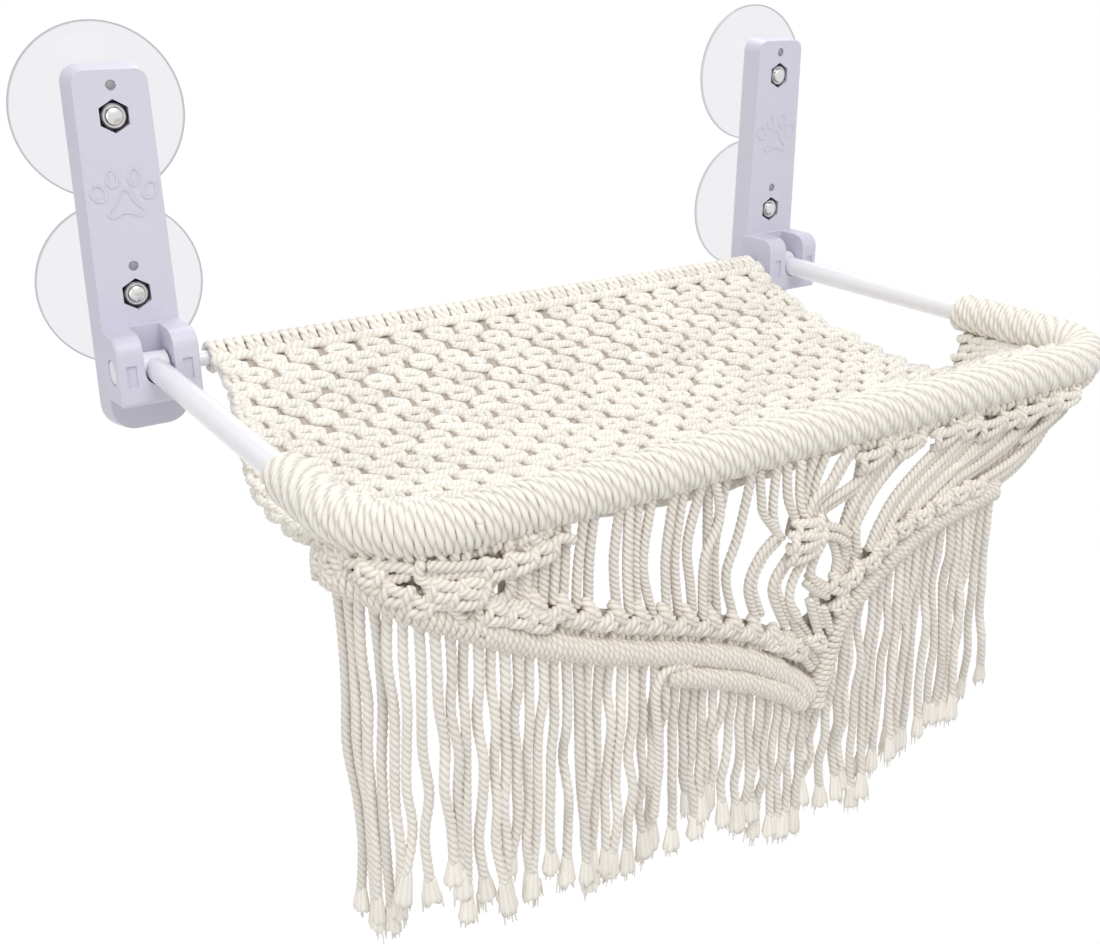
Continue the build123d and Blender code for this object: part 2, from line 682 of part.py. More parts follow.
def fringe(low, high):
    """The cords that hang from the hem between two distances along the frame."""
    count = int((high - low) / fringe_pitch)
    lower = lower_hem_points()
    cords = []
    for i in range(count):
        along = low + (high - low) * (i + 0.5) / count
        x, y = skirt_place(along)
        line, radius = hem_points(-1 if x < valance_apex_x else 1), hem_diameter / 2
        if lower[0][0] - fringe_pitch < x < lower[-1][0] + fringe_pitch:
            line, radius = lower, lower_hem_diameter / 2
        top_z = line_height(line, x) - room_below(line, along, radius)
        if valance_apex_x < x < valance_apex_x + fringe_pitch:
            top_z = valance_top_z - valance_drop - fringe_gap
        out = -along / valance_reach if along < 0 else along / right_roll_reach
        side_drop = fringe_left_drop if along < 0 else fringe_right_drop
        drop = fringe_middle_drop + (side_drop - fringe_middle_drop) * out
        end_z = pivot_z - drop + fringe_unevenness * math.sin(math.radians(uneven_angle * i))
        sway = (fringe_pitch - cord_diameter) / 3 * math.sin(math.radians(sway_angle * i))
        splay = fringe_splay * out * out if along > 0 else 0
        cords.append(fringe_cord(x, y, top_z, end_z, sway, splay))
    return cords


os.makedirs("parts", exist_ok=True)

for side, word in ((-1, "left"), (1, "right")):
    save(f"bracket_{word}", bracket(side))
    for level, row in ((1, "upper"), (-1, "lower")):
        save(f"suction_cup_{row}_{word}", suction_cup(side * arm_x, level * cup_z))
    save(f"arm_knuckle_{word}", arm_knuckle(side))
    save(f"rod_end_cap_{word}", rod_end_cap(side))
    save(f"corner_wrap_{word}", corner_wrap(side))
    save(f"hem_roll_{word}", hem_roll(side))

places = [(side * arm_x, level * cup_z) for side in (-1, 1) for level in (1, -1)]
save("cup_studs", [stud(x, z) for x, z in places])
save("stud_nuts", [nut(x, z) for x, z in places])

save("frame_tube", frame_tube())
save("hinge_rod", hinge_rod())
save("arm_wrap_left", winding(-1, left_arm_wound))
save("arm_wrap_right", winding(1, right_arm_wound))
bar_end = corner_x - fixed_gap
save("front_wrap", sleeve(wrap_inner, wrap_outer, -bar_end, bar_end, front_y, pivot_z))
header_end = arm_x - block_width / 2 - header_end_gap
save("rear_wrap", sleeve(header_inner, header_outer, -header_end, header_end, pivot_y, pivot_z))
save("seat_panel", seat_panel())
save("valance", valance())

save("lower_hem_roll", lower_hem_roll())

first, last = -valance_reach, right_roll_reach
third = (last - first) / 3
for i, word in enumerate(("left", "middle", "right")):
    save(f"fringe_{word}", fringe(first + third * i, first + third * (i + 1)))
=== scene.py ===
import bpy
import math
import numpy as np
from bpy.props import FloatProperty, FloatVectorProperty, IntProperty, PointerProperty
from mathutils import Matrix, Vector


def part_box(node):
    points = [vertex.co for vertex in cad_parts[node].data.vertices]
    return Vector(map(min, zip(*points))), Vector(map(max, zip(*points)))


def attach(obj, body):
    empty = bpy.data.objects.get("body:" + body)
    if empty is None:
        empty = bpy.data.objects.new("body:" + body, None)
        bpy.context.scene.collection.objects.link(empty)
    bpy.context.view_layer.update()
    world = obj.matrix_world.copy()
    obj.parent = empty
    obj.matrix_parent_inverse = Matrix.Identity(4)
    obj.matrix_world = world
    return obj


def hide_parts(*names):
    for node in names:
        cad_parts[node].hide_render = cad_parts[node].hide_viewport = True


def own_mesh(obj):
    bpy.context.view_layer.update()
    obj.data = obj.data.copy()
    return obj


bl_info = {
    "name": "Window cat perch",
    "version": (1, 0, 0),
    "blender": (4, 5, 0),
    "location": "View3D > Sidebar > Perch",
    "description": "Dresses a folding window perch with its cotton windings, knotted seat, skirt and fringe",
    "category": "Object",
}

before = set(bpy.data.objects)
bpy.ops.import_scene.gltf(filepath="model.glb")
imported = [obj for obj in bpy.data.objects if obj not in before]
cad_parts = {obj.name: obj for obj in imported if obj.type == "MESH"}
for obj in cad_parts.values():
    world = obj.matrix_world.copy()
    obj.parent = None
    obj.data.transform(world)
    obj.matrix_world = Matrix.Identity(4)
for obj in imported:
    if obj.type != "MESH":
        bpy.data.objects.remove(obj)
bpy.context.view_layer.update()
MM = 0.001

# Places that follow from the frame
tube_low, tube_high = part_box("frame_tube")
header_low, header_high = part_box("rear_wrap")
TUBE_RADIUS = (tube_high.z - tube_low.z) / 2
ARM_X = tube_high.x - TUBE_RADIUS
HINGE_Z = (tube_high.z + tube_low.z) / 2
HINGE_Y = (header_low.y + header_high.y) / 2
FRONT_Y = tube_low.y + TUBE_RADIUS
CORNER_X = -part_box("corner_wrap_left")[1].x
CORNER_RADIUS = ARM_X - CORNER_X
CORNER_Y = FRONT_Y + CORNER_RADIUS
WRAP_RADIUS = (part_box("front_wrap")[1].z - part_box("front_wrap")[0].z) / 2
HEADER_RADIUS = (header_high.z - header_low.z) / 2
LEFT_WOUND_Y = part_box("arm_wrap_left")[1].y
RIGHT_WOUND_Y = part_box("arm_wrap_right")[1].y
SEAT_LOW, SEAT_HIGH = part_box("seat_panel")
SKIRT_RADIUS = CORNER_RADIUS + 4 * MM
NUT_FRONT, NUT_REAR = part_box("stud_nuts")[0].y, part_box("stud_nuts")[1].y
STUD_Z = sum(corner.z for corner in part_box("suction_cup_upper_left")) / 2

# Sizes of the fasteners, and the height of a cup's peg above its stud
NUT_HALF_FLAT = 6.1 * MM
NUT_BORE = 4.05 * MM
NUT_CHAMFER = 0.5 * MM
STUD_RADIUS = 4 * MM
PEG_RADIUS = 2.1 * MM
PEG_RISE = 14.1 * MM

# How far the left arm's winding stops before the end of its solid, and the curtains before the windings
WINDING_SET_BACK = 3.5 * MM
CURTAIN_SET_BACK = 7 * MM
CURTAIN_PITCH = 9 * MM


def size_setting(name, description, size):
    """A length that a user can change, with its default in millimetres."""
    return FloatProperty(name=name, description=description, default=size * MM, unit="LENGTH")


def colour_setting(name, description, colour):
    """A colour that a user can change."""
    return FloatVectorProperty(name=name, description=description, subtype="COLOR", default=colour, min=0,
                               max=1)


class PerchCord(bpy.types.PropertyGroup):
    diameter: size_setting("Cord diameter", "Across the three-strand cotton cord", 4.5)
    lay: size_setting("Lay", "Length in which a strand goes once round the cord", 7.2)
    step: size_setting("Step", "Distance between a cord's rings", 0.9)
    groove: FloatProperty(name="Groove", description="Depth between strands, as a share of the radius",
                          default=0.22, min=0, max=0.5)
    wound_pitch: size_setting("Wound pitch", "Distance between two turns round the straight bar", 3.7)
    corner_pitch: size_setting("Corner pitch", "The same round the bent corners, on the centreline", 3.0)
    wound_lay: size_setting("Wound lay", "Lay of the softer cord that is wound round the bar", 19)
    fringe_lay: size_setting("Fringe lay", "Lay of the hanging cords", 9.5)


class PerchSeat(bpy.types.PropertyGroup):
    column_pitch: size_setting("Column pitch", "Distance between two knots of a row", 19.6)
    row_pitch: size_setting("Row pitch", "Distance between two rows, along the cloth", 9.1)
    knot_width: size_setting("Knot width", "Across a square knot", 14.6)
    bar_radius: size_setting("Bar radius", "Of the cord across a knot", 2.45)
    web: size_setting("Web thickness", "Of the cloth behind the knots", 3.2)
    header_pitch: size_setting("Header pitch", "Distance between two loops on the hinge rod", 9.9)


class PerchSkirt(bpy.types.PropertyGroup):
    roll_radius: size_setting("Hem roll radius", "Of the knotted hem", 6.0)
    lower_radius: size_setting("Lower roll radius", "Of the short second roll", 5.2)
    hitch_pitch: size_setting("Hitch pitch", "Distance between two hitches of a roll", 2.7)
    fringe_pitch: size_setting("Fringe pitch", "Distance between two hanging cords", 5.7)
    tuft: size_setting("Tuft length", "Of a cord's brushed end", 15)
    seed: IntProperty(name="Seed", description="Of the cords' unevenness", default=7)


class PerchColours(bpy.types.PropertyGroup):
    cotton: colour_setting("Cotton", "Of the strands' crowns", (0.95, 0.93, 0.865))
    # Painted shade: the darker colour that fills the grooves between the strands
    cotton_groove_shade: colour_setting("Cotton groove", "Between the strands", (0.68, 0.61, 0.53))
    plastic: colour_setting("Bracket plastic", "White with a faint lavender cast", (0.66, 0.645, 0.75))
    tube: colour_setting("Tube coating", "Gloss white powder coat", (0.86, 0.86, 0.90))
    steel: colour_setting("Zinc-plated steel", "Of nuts and studs", (0.72, 0.72, 0.72))
    # Painted shade on the nuts' bevels, for the dark gap round each nut in its pocket; three times as light,
    # it is the grey of the pegs' ends
    bevel_shade_and_peg_grey: colour_setting("Recess grey", "Of the nuts' bevels and the pegs' ends", (0.10, 0.10, 0.11))
    paper: colour_setting("Backdrop", "Floor and surroundings", (1.0, 1.0, 1.0))


# Curves and places

def unit(vectors):
    """The same vectors at length one."""
    return vectors / np.maximum(np.linalg.norm(vectors, axis=-1, keepdims=True), 1e-12)


def smooth(points, step):
    """A Catmull-Rom curve through the points, then evenly spaced places on it.

    Between b and c, with a before and d after them, a point at share f is
    b + f/2 (c - a + f (2a - 5b + 4c - d + f (3(b - c) + d - a))).
    """
    p = np.asarray(points, float)
    t = np.linspace(0, len(p) - 1, 24 * len(p))
    i = np.minimum(t.astype(int), len(p) - 2)
    f = (t - i)[:, None]
    a, b, c, d = p[np.maximum(i - 1, 0)], p[i], p[i + 1], p[np.minimum(i + 2, len(p) - 1)]
    curve = b + f / 2 * (c - a + f * (2 * a - 5 * b + 4 * c - d + f * (3 * (b - c) + d - a)))
    run = np.r_[0, np.cumsum(np.linalg.norm(np.diff(curve, axis=0), axis=1))]
    s = np.linspace(0, run[-1], max(int(run[-1] / step), 3) + 1)
    return np.stack([np.interp(s, run, curve[:, k]) for k in range(p.shape[1])], axis=1)


def circle(sides):
    """Angles of evenly spaced points once round a circle."""
    return 2 * np.pi * np.arange(sides) / sides


def waves(s, lengths, phases):
    """A smooth unevenness between -1 and 1: the mean of sines of these wave lengths along s."""
    total = sum(np.sin(2 * np.pi * s / length + phase) for length, phase in zip(lengths, phases))
    return total / len(lengths)


def round_the_frame(s, radius):
    """Centre and outward direction of the U frame's line at distance s from the front bar's middle.

    Straight up to the corner, then a quarter circle of the given radius, then straight to the pane.
    """
    s = np.asarray(s, float)
    side, far = np.sign(s), np.abs(s)
    bend = np.clip((far - CORNER_X) / radius, 0, math.pi / 2)
    beyond = np.maximum(far - CORNER_X - radius * math.pi / 2, 0)
    x = side * (np.minimum(far, CORNER_X) + radius * np.sin(bend))
    y = CORNER_Y - radius * np.cos(bend) + beyond
    out = np.stack([side * np.sin(bend), -np.cos(bend), np.zeros_like(s)], -1)
    return np.stack([x, y, np.full_like(s, HINGE_Z)], -1), out


def skirt_front(along):
    """The direction that faces the room at a distance along the skirt."""
    return round_the_frame(along, SKIRT_RADIUS)[1]


def skirt_place(points):
    """Points of the skirt (along the frame, height, how far in front of its middle) as places."""
    points = np.asarray(points, float)
    centre, out = round_the_frame(points[..., 0], SKIRT_RADIUS)
    centre[..., 2] = points[..., 1]
    return centre + out * points[..., 2:3]


# Drop at the side and in the middle along the seat, as shares of its depth and of its two sags
SEAT_SHARES = [(0.0, 0.0, 0.0), (0.12, 0.32, 0.30), (0.30, 0.76, 0.72), (0.50, 1.0, 0.97),
               (0.66, 0.86, 1.0), (0.80, 0.34, 0.86), (0.92, 0.06, 0.46), (1.0, 0.0, 0.02)]
SEAT_EDGE_SAG = 36 * MM
SEAT_MIDDLE_SAG = 50 * MM
# Space between the arm's middle line and the seat's edge at its back and at its widest, where it starts
# to widen and over which length
SEAT_BACK_SPACE = 27 * MM
SEAT_SIDE_SPACE = 8.5 * MM
SEAT_FLARE_START = 6 * MM
SEAT_FLARE_LENGTH = 100 * MM
seat_curve = smooth(SEAT_SHARES, 0.004)
seat_y = SEAT_HIGH.y + (SEAT_LOW.y - SEAT_HIGH.y) * seat_curve[:, 0]
seat_height = -(SEAT_EDGE_SAG * seat_curve[:, 1] + SEAT_MIDDLE_SAG * seat_curve[:, 2]) / 2
seat_run = np.r_[0, np.cumsum(np.hypot(np.diff(seat_y), np.diff(seat_height)))]


def seat_place(x, run, above=0.0):
    """A place over the seat: across, along the cloth from its back edge, and above its middle.

    The height is a parabola across, between the drop at the side and the drop in the middle.
    """
    x, run = np.broadcast_arrays(np.asarray(x, float), run)
    grown = []
    for dx, ds in ((0, 0), (MM, 0), (0, MM)):
        y = np.interp(run + ds, seat_run, seat_y)
        share = (SEAT_HIGH.y - y) / (SEAT_HIGH.y - SEAT_LOW.y)
        edge = SEAT_EDGE_SAG * np.interp(share, seat_curve[:, 0], seat_curve[:, 1])
        middle = SEAT_MIDDLE_SAG * np.interp(share, seat_curve[:, 0], seat_curve[:, 2])
        z = HINGE_Z - edge - (middle - edge) * (1 - ((x + dx) / ARM_X) ** 2)
        grown.append(np.stack([x + dx, y, z], -1))
    normal = unit(np.cross(grown[1] - grown[0], grown[0] - grown[2]))
    normal = np.where(normal[..., 2:3] < 0, -normal, normal)
    return grown[0] + normal * np.asarray(above)[..., None], normal


def seat_half_width(y):
    """Half the seat's width: narrow at the back, flared to the wound arms, round at the front."""
    rear, wide = ARM_X - SEAT_BACK_SPACE, ARM_X - SEAT_SIDE_SPACE
    flare = np.clip((SEAT_HIGH.y - SEAT_FLARE_START - y) / SEAT_FLARE_LENGTH, 0, 1)
    flare = flare * flare * (3 - 2 * flare)
    turn = CORNER_RADIUS - WRAP_RADIUS
    deep = np.clip((SEAT_LOW.y + turn - y) / turn, 0, 1)
    return rear + (wide - rear) * flare - turn * (1 - np.sqrt(1 - deep * deep))


def curtain_end(side):
    """Where the cloth that hangs from a wound arm ends, a little before its winding does."""
    return (LEFT_WOUND_Y if side < 0 else RIGHT_WOUND_Y) - CURTAIN_SET_BACK


# Meshes

class Skein:
    """The strands of one piece, gathered as grids before they become one mesh."""

    def __init__(self):
        self.points, self.faces, self.corners, self.tones = [], [], [], []
        self.count = 0

    def add(self, points, faces, corners, tone=0.5):
        """Points (copies, points, 3), faces of one copy, UV corners and a tone for each copy."""
        copies, size = points.shape[:2]
        starts = self.count + size * np.arange(copies)[:, None, None]
        self.points.append(points.reshape(-1, 3))
        self.faces.append((faces[None] + starts).reshape(-1, 4))
        self.corners.append(np.broadcast_to(corners, (copies, *corners.shape[-3:])).reshape(-1, 4, 2))
        self.tones.append(np.repeat(np.broadcast_to(tone, copies), size))
        self.count += copies * size

    def piece(self, name):
        """One smooth mesh object of all that was gathered."""
        points, faces = np.concatenate(self.points), np.concatenate(self.faces)
        mesh = bpy.data.meshes.new(name)
        mesh.vertices.add(len(points))
        mesh.vertices.foreach_set("co", points.astype(np.float32).ravel())
        mesh.loops.add(faces.size)
        mesh.loops.foreach_set("vertex_index", faces.astype(np.int32).ravel())
        mesh.polygons.add(len(faces))
        mesh.polygons.foreach_set("loop_start", np.arange(0, faces.size, 4, dtype=np.int32))
        mesh.polygons.foreach_set("use_smooth", np.ones(len(faces), bool))
        mesh.uv_layers.new(name="strands").data.foreach_set(
            "uv", np.concatenate(self.corners).astype(np.float32).ravel())
        tone = mesh.attributes.new("tone", "FLOAT", "POINT")
        tone.data.foreach_set("value", np.concatenate(self.tones).astype(np.float32))
        mesh.update(calc_edges=True)
        mesh.validate()
        piece = bpy.data.objects.new(name, mesh)
        bpy.context.scene.collection.objects.link(piece)
        return piece


def sleeve(skein, ring, poles, grid, tone=0.5):
    """Joins rings (copies, rings, sides, 3) into tubes that end in their poles; grid holds the UVs."""
    copies, rings, sides = ring.shape[:3]
    i, j = np.meshgrid(np.arange(rings - 1), np.arange(sides), indexing="ij")
    k = (j + 1) % sides
    here, there = i * sides, (i + 1) * sides
    quads = np.stack([here + j, here + k, there + k, there + j], -1).reshape(-1, 4)
    a, last = np.arange(0, sides, 2), (rings - 1) * sides
    first_cap = np.stack([np.full_like(a, rings * sides), (a + 2) % sides, a + 1, a], -1)
    last_cap = np.stack([np.full_like(a, rings * sides + 1), last + a, last + a + 1, last + (a + 2) % sides],
                        -1)
    walls = np.stack([grid[:, :-1, :-1], grid[:, :-1, 1:], grid[:, 1:, 1:], grid[:, 1:, :-1]], 3)
    walls = walls.reshape(copies, -1, 4, 2)
    lids = []
    for end, one, other in ((0, 2, 0), (-1, 0, 2)):
        tip = grid[:, end, a + 1]
        lids.append(np.stack([tip, grid[:, end, a + one], tip, grid[:, end, a + other]], 2))
    skein.add(np.concatenate([ring.reshape(copies, -1, 3), poles], 1),
              np.concatenate([quads, first_cap, last_cap]), np.concatenate([walls, *lids], 1), tone)


def strands(skein, paths, across, radius, cord, sides=12, twisted=True, flat=1.0, tone=0.5, lay=None):
    """Carries a round section along one path or many alike, closed at both ends.

    A point at angle v is path + r (cos v side + flat sin v up), where side is the direction
    across, made square to the path, and up is square to both. A twisted cord has three lobes,
    r = R (1 - g + g |cos 1.5 v|), turning once in each lay; a plain one is round.
    The UV map holds the strand's number round the cord and the lays along it.
    """
    paths = np.asarray(paths, float)
    paths = paths[None] if paths.ndim == 2 else paths
    copies, rings = paths.shape[:2]
    lay = lay or cord.lay
    along = unit(np.gradient(paths, axis=1))
    across = np.broadcast_to(across, paths.shape)
    side = unit(across - (across * along).sum(-1, keepdims=True) * along)
    up = np.cross(along, side)
    run = np.cumsum(np.linalg.norm(np.diff(paths, axis=1, prepend=paths[:, :1]), axis=2), axis=1)
    turn = -2 * np.pi * run / lay
    angle = np.broadcast_to(circle(sides), (copies, rings, sides))
    reach = np.broadcast_to(radius, (copies, rings))[..., None]
    drift = 3 * run / lay
    if twisted:
        reach = reach * (1 - cord.groove + cord.groove * np.abs(np.cos(1.5 * angle)))
        angle, drift = angle + turn[..., None], np.zeros_like(run)
    section = np.cos(angle)[..., None] * side[:, :, None] + flat * np.sin(angle)[..., None] * up[:, :, None]
    ring = paths[:, :, None] + reach[..., None] * section
    ends = along[:, [0, -1]] * np.array([-0.5, 0.5])[:, None]
    poles = paths[:, [0, -1]] + ends * np.broadcast_to(radius, (copies, rings))[:, [0, -1], None]
    lays, number = run / lay, 3 * np.arange(sides + 1) / sides
    grid = np.stack(np.broadcast_arrays(number + drift[..., None], lays[..., None]), -1)
    sleeve(skein, ring, poles, grid, tone)


def turned(skein, rings):
    """A ring-shaped body whose rings (rings, sides, 3) are joined each to the next, the last to the first."""
    count, sides = rings.shape[:2]
    i, j = np.meshgrid(np.arange(count), np.arange(sides), indexing="ij")
    i_next, j_next = (i + 1) % count, (j + 1) % sides
    faces = np.stack([i * sides + j, i_next * sides + j, i_next * sides + j_next, i * sides + j_next], -1)
    skein.add(rings.reshape(1, -1, 3), faces.reshape(-1, 4), np.zeros((1, count * sides, 4, 2)))


def slab(skein, top, foot, grid):
    """A closed sheet between two grids of points (rows, columns, 3), with a wall round their rim.

    Its faces point outwards: where the volume under them comes out negative, they are turned round.
    """
    rows, columns = top.shape[:2]
    i, j = np.meshgrid(np.arange(rows - 1), np.arange(columns - 1), indexing="ij")
    at = i * columns + j
    quads = np.stack([at, at + columns, at + columns + 1, at + 1], -1).reshape(-1, 4)
    number = np.arange(rows * columns).reshape(rows, columns)
    rim = np.concatenate([number[0], number[1:, -1], number[-1, -2::-1], number[-2:0:-1, 0]])
    following, size = np.roll(rim, -1), rows * columns
    wall = np.stack([rim, following, following + size, rim + size], -1)
    faces = np.concatenate([quads, quads[:, ::-1] + size, wall])
    points = np.concatenate([top.reshape(-1, 3), foot.reshape(-1, 3)])
    a, b, c, d = points[faces.T]
    if ((a * np.cross(b, c)).sum() + (a * np.cross(c, d)).sum()) < 0:
        faces = faces[:, ::-1]
    place = np.tile(grid.reshape(-1, 2), (2, 1))
    skein.add(points[None], faces, place[faces][None])


def finish_piece(piece, material, slot, body, *nodes):
    """Material, body and the nodes that the piece stands for; the slot is not used."""
    piece.data.materials.append(material)
    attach(piece, body)
    if nodes:
        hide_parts(*nodes)
    return piece


# Materials

def node_group(name, inputs, outputs):
    """A new shader node group with its sockets, and its input and output nodes."""
    group = bpy.data.node_groups.new(name, "ShaderNodeTree")
    for socket, kind, value in inputs:
        made = group.interface.new_socket(socket, in_out="INPUT", socket_type=kind)
        made.default_value = value
    for socket, kind in outputs:
        group.interface.new_socket(socket, in_out="OUTPUT", socket_type=kind)
    return group, group.nodes.new("NodeGroupInput"), group.nodes.new("NodeGroupOutput")


def maths(tree, operation, *values, clamp=False):
    """A Math node whose inputs are sockets or numbers, and its output socket."""
    node = tree.nodes.new("ShaderNodeMath")
    node.operation, node.use_clamp = operation, clamp
    for socket, value in zip(node.inputs, values):
        if isinstance(value, bpy.types.NodeSocket):
            tree.links.new(value, socket)
        else:
            socket.default_value = value
    return node.outputs[0]


def mixed(tree, factor, first, second, blend="MIX"):
    """A colour mix of two sockets or colours, and its output socket."""
    node = tree.nodes.new("ShaderNodeMix")
    node.data_type, node.blend_type = "RGBA", blend
    for i, value in ((0, factor), (6, first), (7, second)):
        if isinstance(value, bpy.types.NodeSocket):
            tree.links.new(value, node.inputs[i])
        else:
            node.inputs[i].default_value = (*value[:3], 1) if i else value
    return node.outputs[2]


def object_place(tree):
    """A point's place in its object, as a vector socket."""
    return tree.nodes.new("ShaderNodeTexCoord").outputs["Object"]


def set_values(node, values):
    """Sets a node's inputs by name, with underscores for spaces; a colour gets its alpha."""
    for name, value in values.items():
        colour = hasattr(value, "__len__")
        node.inputs[name.replace("_", " ")].default_value = (*value, 1) if colour else value


def noise(tree, vector, scale, detail=2.0, roughness=0.5):
    """A noise texture on a vector socket, and its value socket."""
    node = tree.nodes.new("ShaderNodeTexNoise")
    set_values(node, {"Scale": scale, "Detail": detail, "Roughness": roughness})
    tree.links.new(vector, node.inputs["Vector"])
    return node.outputs[0]


def strand_group():
    """Colour and height of a laid cord from its UV map: rounded strands, grooves painted with shade and fine
    fibres.
    """
    group, entry, leave = node_group(
        "cotton_strands",
        [("Crown", "NodeSocketColor", (1, 1, 1, 1)), ("Groove", "NodeSocketColor", (0.5, 0.5, 0.5, 1)),
         ("Groove Width", "NodeSocketFloat", 0.5), ("Fibre", "NodeSocketFloat", 0.3),
         ("Lobes", "NodeSocketFloat", 0.3)],
        [("Color", "NodeSocketColor"), ("Height", "NodeSocketFloat")])
    uv = group.nodes.new("ShaderNodeUVMap")
    uv.uv_map = "strands"
    parts = group.nodes.new("ShaderNodeSeparateXYZ")
    group.links.new(uv.outputs[0], parts.inputs[0])
    swing = maths(group, "COSINE", maths(group, "MULTIPLY", parts.outputs[0], math.pi))
    swing = maths(group, "ABSOLUTE", swing)
    crown = maths(group, "POWER", swing, entry.outputs["Groove Width"])
    stretch = group.nodes.new("ShaderNodeMapping")
    stretch.inputs["Scale"].default_value = (9.0, 2.6, 1.0)
    group.links.new(uv.outputs[0], stretch.inputs["Vector"])
    fibre = noise(group, stretch.outputs[0], 1.0, 3.0, 0.6)
    tone = group.nodes.new("ShaderNodeAttribute")
    tone.attribute_name = "tone"
    dark = maths(group, "SUBTRACT", 0.75, fibre, clamp=True)
    dark = maths(group, "MULTIPLY", dark, entry.outputs["Fibre"])
    shade = maths(group, "SUBTRACT", crown, dark, clamp=True)
    # Painted shade: between the strands the colour goes over to the groove colour, and the fibre streaks pull
    # it that way too
    laid = mixed(group, shade, entry.outputs["Groove"], entry.outputs["Crown"])
    level = maths(group, "ADD", 0.93, maths(group, "MULTIPLY", tone.outputs["Fac"], 0.14))
    grey = group.nodes.new("ShaderNodeCombineColor")
    for socket in grey.inputs:
        group.links.new(level, socket)
    toned = mixed(group, 1.0, laid, grey.outputs[0], "MULTIPLY")
    group.links.new(toned, leave.inputs["Color"])
    height = maths(group, "ADD", maths(group, "MULTIPLY", crown, entry.outputs["Lobes"]),
                   maths(group, "MULTIPLY", fibre, 0.35))
    group.links.new(height, leave.inputs["Height"])
    return group


def radial_group():
    """A mask that rises from 0 to 1 between two distances from the nearest stud's axis.

    The four axes lie at (+-x, +-z), so the distance is taken at the absolute values of both.
    """
    group, entry, leave = node_group(
        "distance_from_stud", [("Inner", "NodeSocketFloat", 0.0), ("Outer", "NodeSocketFloat", 1.0)],
        [("Mask", "NodeSocketFloat")])
    parts = group.nodes.new("ShaderNodeSeparateXYZ")
    group.links.new(object_place(group), parts.inputs[0])
    legs = [maths(group, "SUBTRACT", maths(group, "ABSOLUTE", parts.outputs[i]), place)
            for i, place in ((0, ARM_X), (2, STUD_Z))]
    squares = [maths(group, "MULTIPLY", leg, leg) for leg in legs]
    away = maths(group, "SQRT", maths(group, "ADD", *squares))
    span = maths(group, "SUBTRACT", entry.outputs["Outer"], entry.outputs["Inner"])
    mask = maths(group, "DIVIDE", maths(group, "SUBTRACT", away, entry.outputs["Inner"]), span, clamp=True)
    group.links.new(mask, leave.inputs["Mask"])
    return group


def grain_group():
    """Fine grain and large soft variation of a moulded or coated surface, on Object coordinates."""
    group, entry, leave = node_group(
        "surface_grain",
        [("Color", "NodeSocketColor", (1, 1, 1, 1)), ("Grain Scale", "NodeSocketFloat", 900.0),
         ("Dust", "NodeSocketFloat", 0.05), ("Roughness", "NodeSocketFloat", 0.4)],
        [("Color", "NodeSocketColor"), ("Roughness", "NodeSocketFloat"), ("Height", "NodeSocketFloat")])
    place = object_place(group)
    fine = group.nodes.new("ShaderNodeTexNoise")
    fine.inputs["Detail"].default_value = 2.0
    group.links.new(place, fine.inputs["Vector"])
    group.links.new(entry.outputs["Grain Scale"], fine.inputs["Scale"])
    broad = noise(group, place, 30.0, 4.0, 0.6)
    dust = maths(group, "MULTIPLY", maths(group, "SUBTRACT", broad, 0.35, clamp=True), entry.outputs["Dust"])
    group.links.new(mixed(group, dust, entry.outputs["Color"], (0.55, 0.52, 0.50)), leave.inputs["Color"])
    rough = maths(group, "ADD", entry.outputs["Roughness"],
                  maths(group, "MULTIPLY", maths(group, "SUBTRACT", broad, 0.5), 0.18))
    group.links.new(rough, leave.inputs["Roughness"])
    group.links.new(fine.outputs[0], leave.inputs["Height"])
    return group


def new_material(name, depth, strength=1.0, **values):
    """A material with its node tree, its Principled shader and a bump node that feeds it.

    The bump has the given depth and strength, and the shader's own sockets get the values.
    """
    material = bpy.data.materials.new(name)
    material.use_nodes = True
    tree = material.node_tree
    shader = tree.nodes["Principled BSDF"]
    set_values(shader, values)
    bump = tree.nodes.new("ShaderNodeBump")
    set_values(bump, {"Distance": depth, "Strength": strength})
    tree.links.new(bump.outputs[0], shader.inputs["Normal"])
    return material, tree, shader, bump


def placed_group(tree, group, **values):
    """A node group placed in a material with its own values."""
    node = tree.nodes.new("ShaderNodeGroup")
    node.node_tree = group
    set_values(node, values)
    return node


def seen_plain(tree):
    """A mask that is 1 where the camera, a gloss or clear plastic sees a surface."""
    path = tree.nodes.new("ShaderNodeLightPath")
    shown = maths(tree, "MAXIMUM", path.outputs["Is Glossy Ray"], path.outputs["Is Transmission Ray"])
    return maths(tree, "MAXIMUM", path.outputs["Is Camera Ray"], shown)


def mixed_shader(tree, factor, first, second, end):
    """Links a mix of two shaders to the output node that ends the tree."""
    mix = tree.nodes.new("ShaderNodeMixShader")
    for socket, source in zip(mix.inputs, (factor, first, second)):
        tree.links.new(source, socket)
    tree.links.new(mix.outputs[0], tree.nodes[end].inputs[0])


def shared_group(name, build):
    """The node group of that name, built once."""
    return bpy.data.node_groups.get(name) or build()


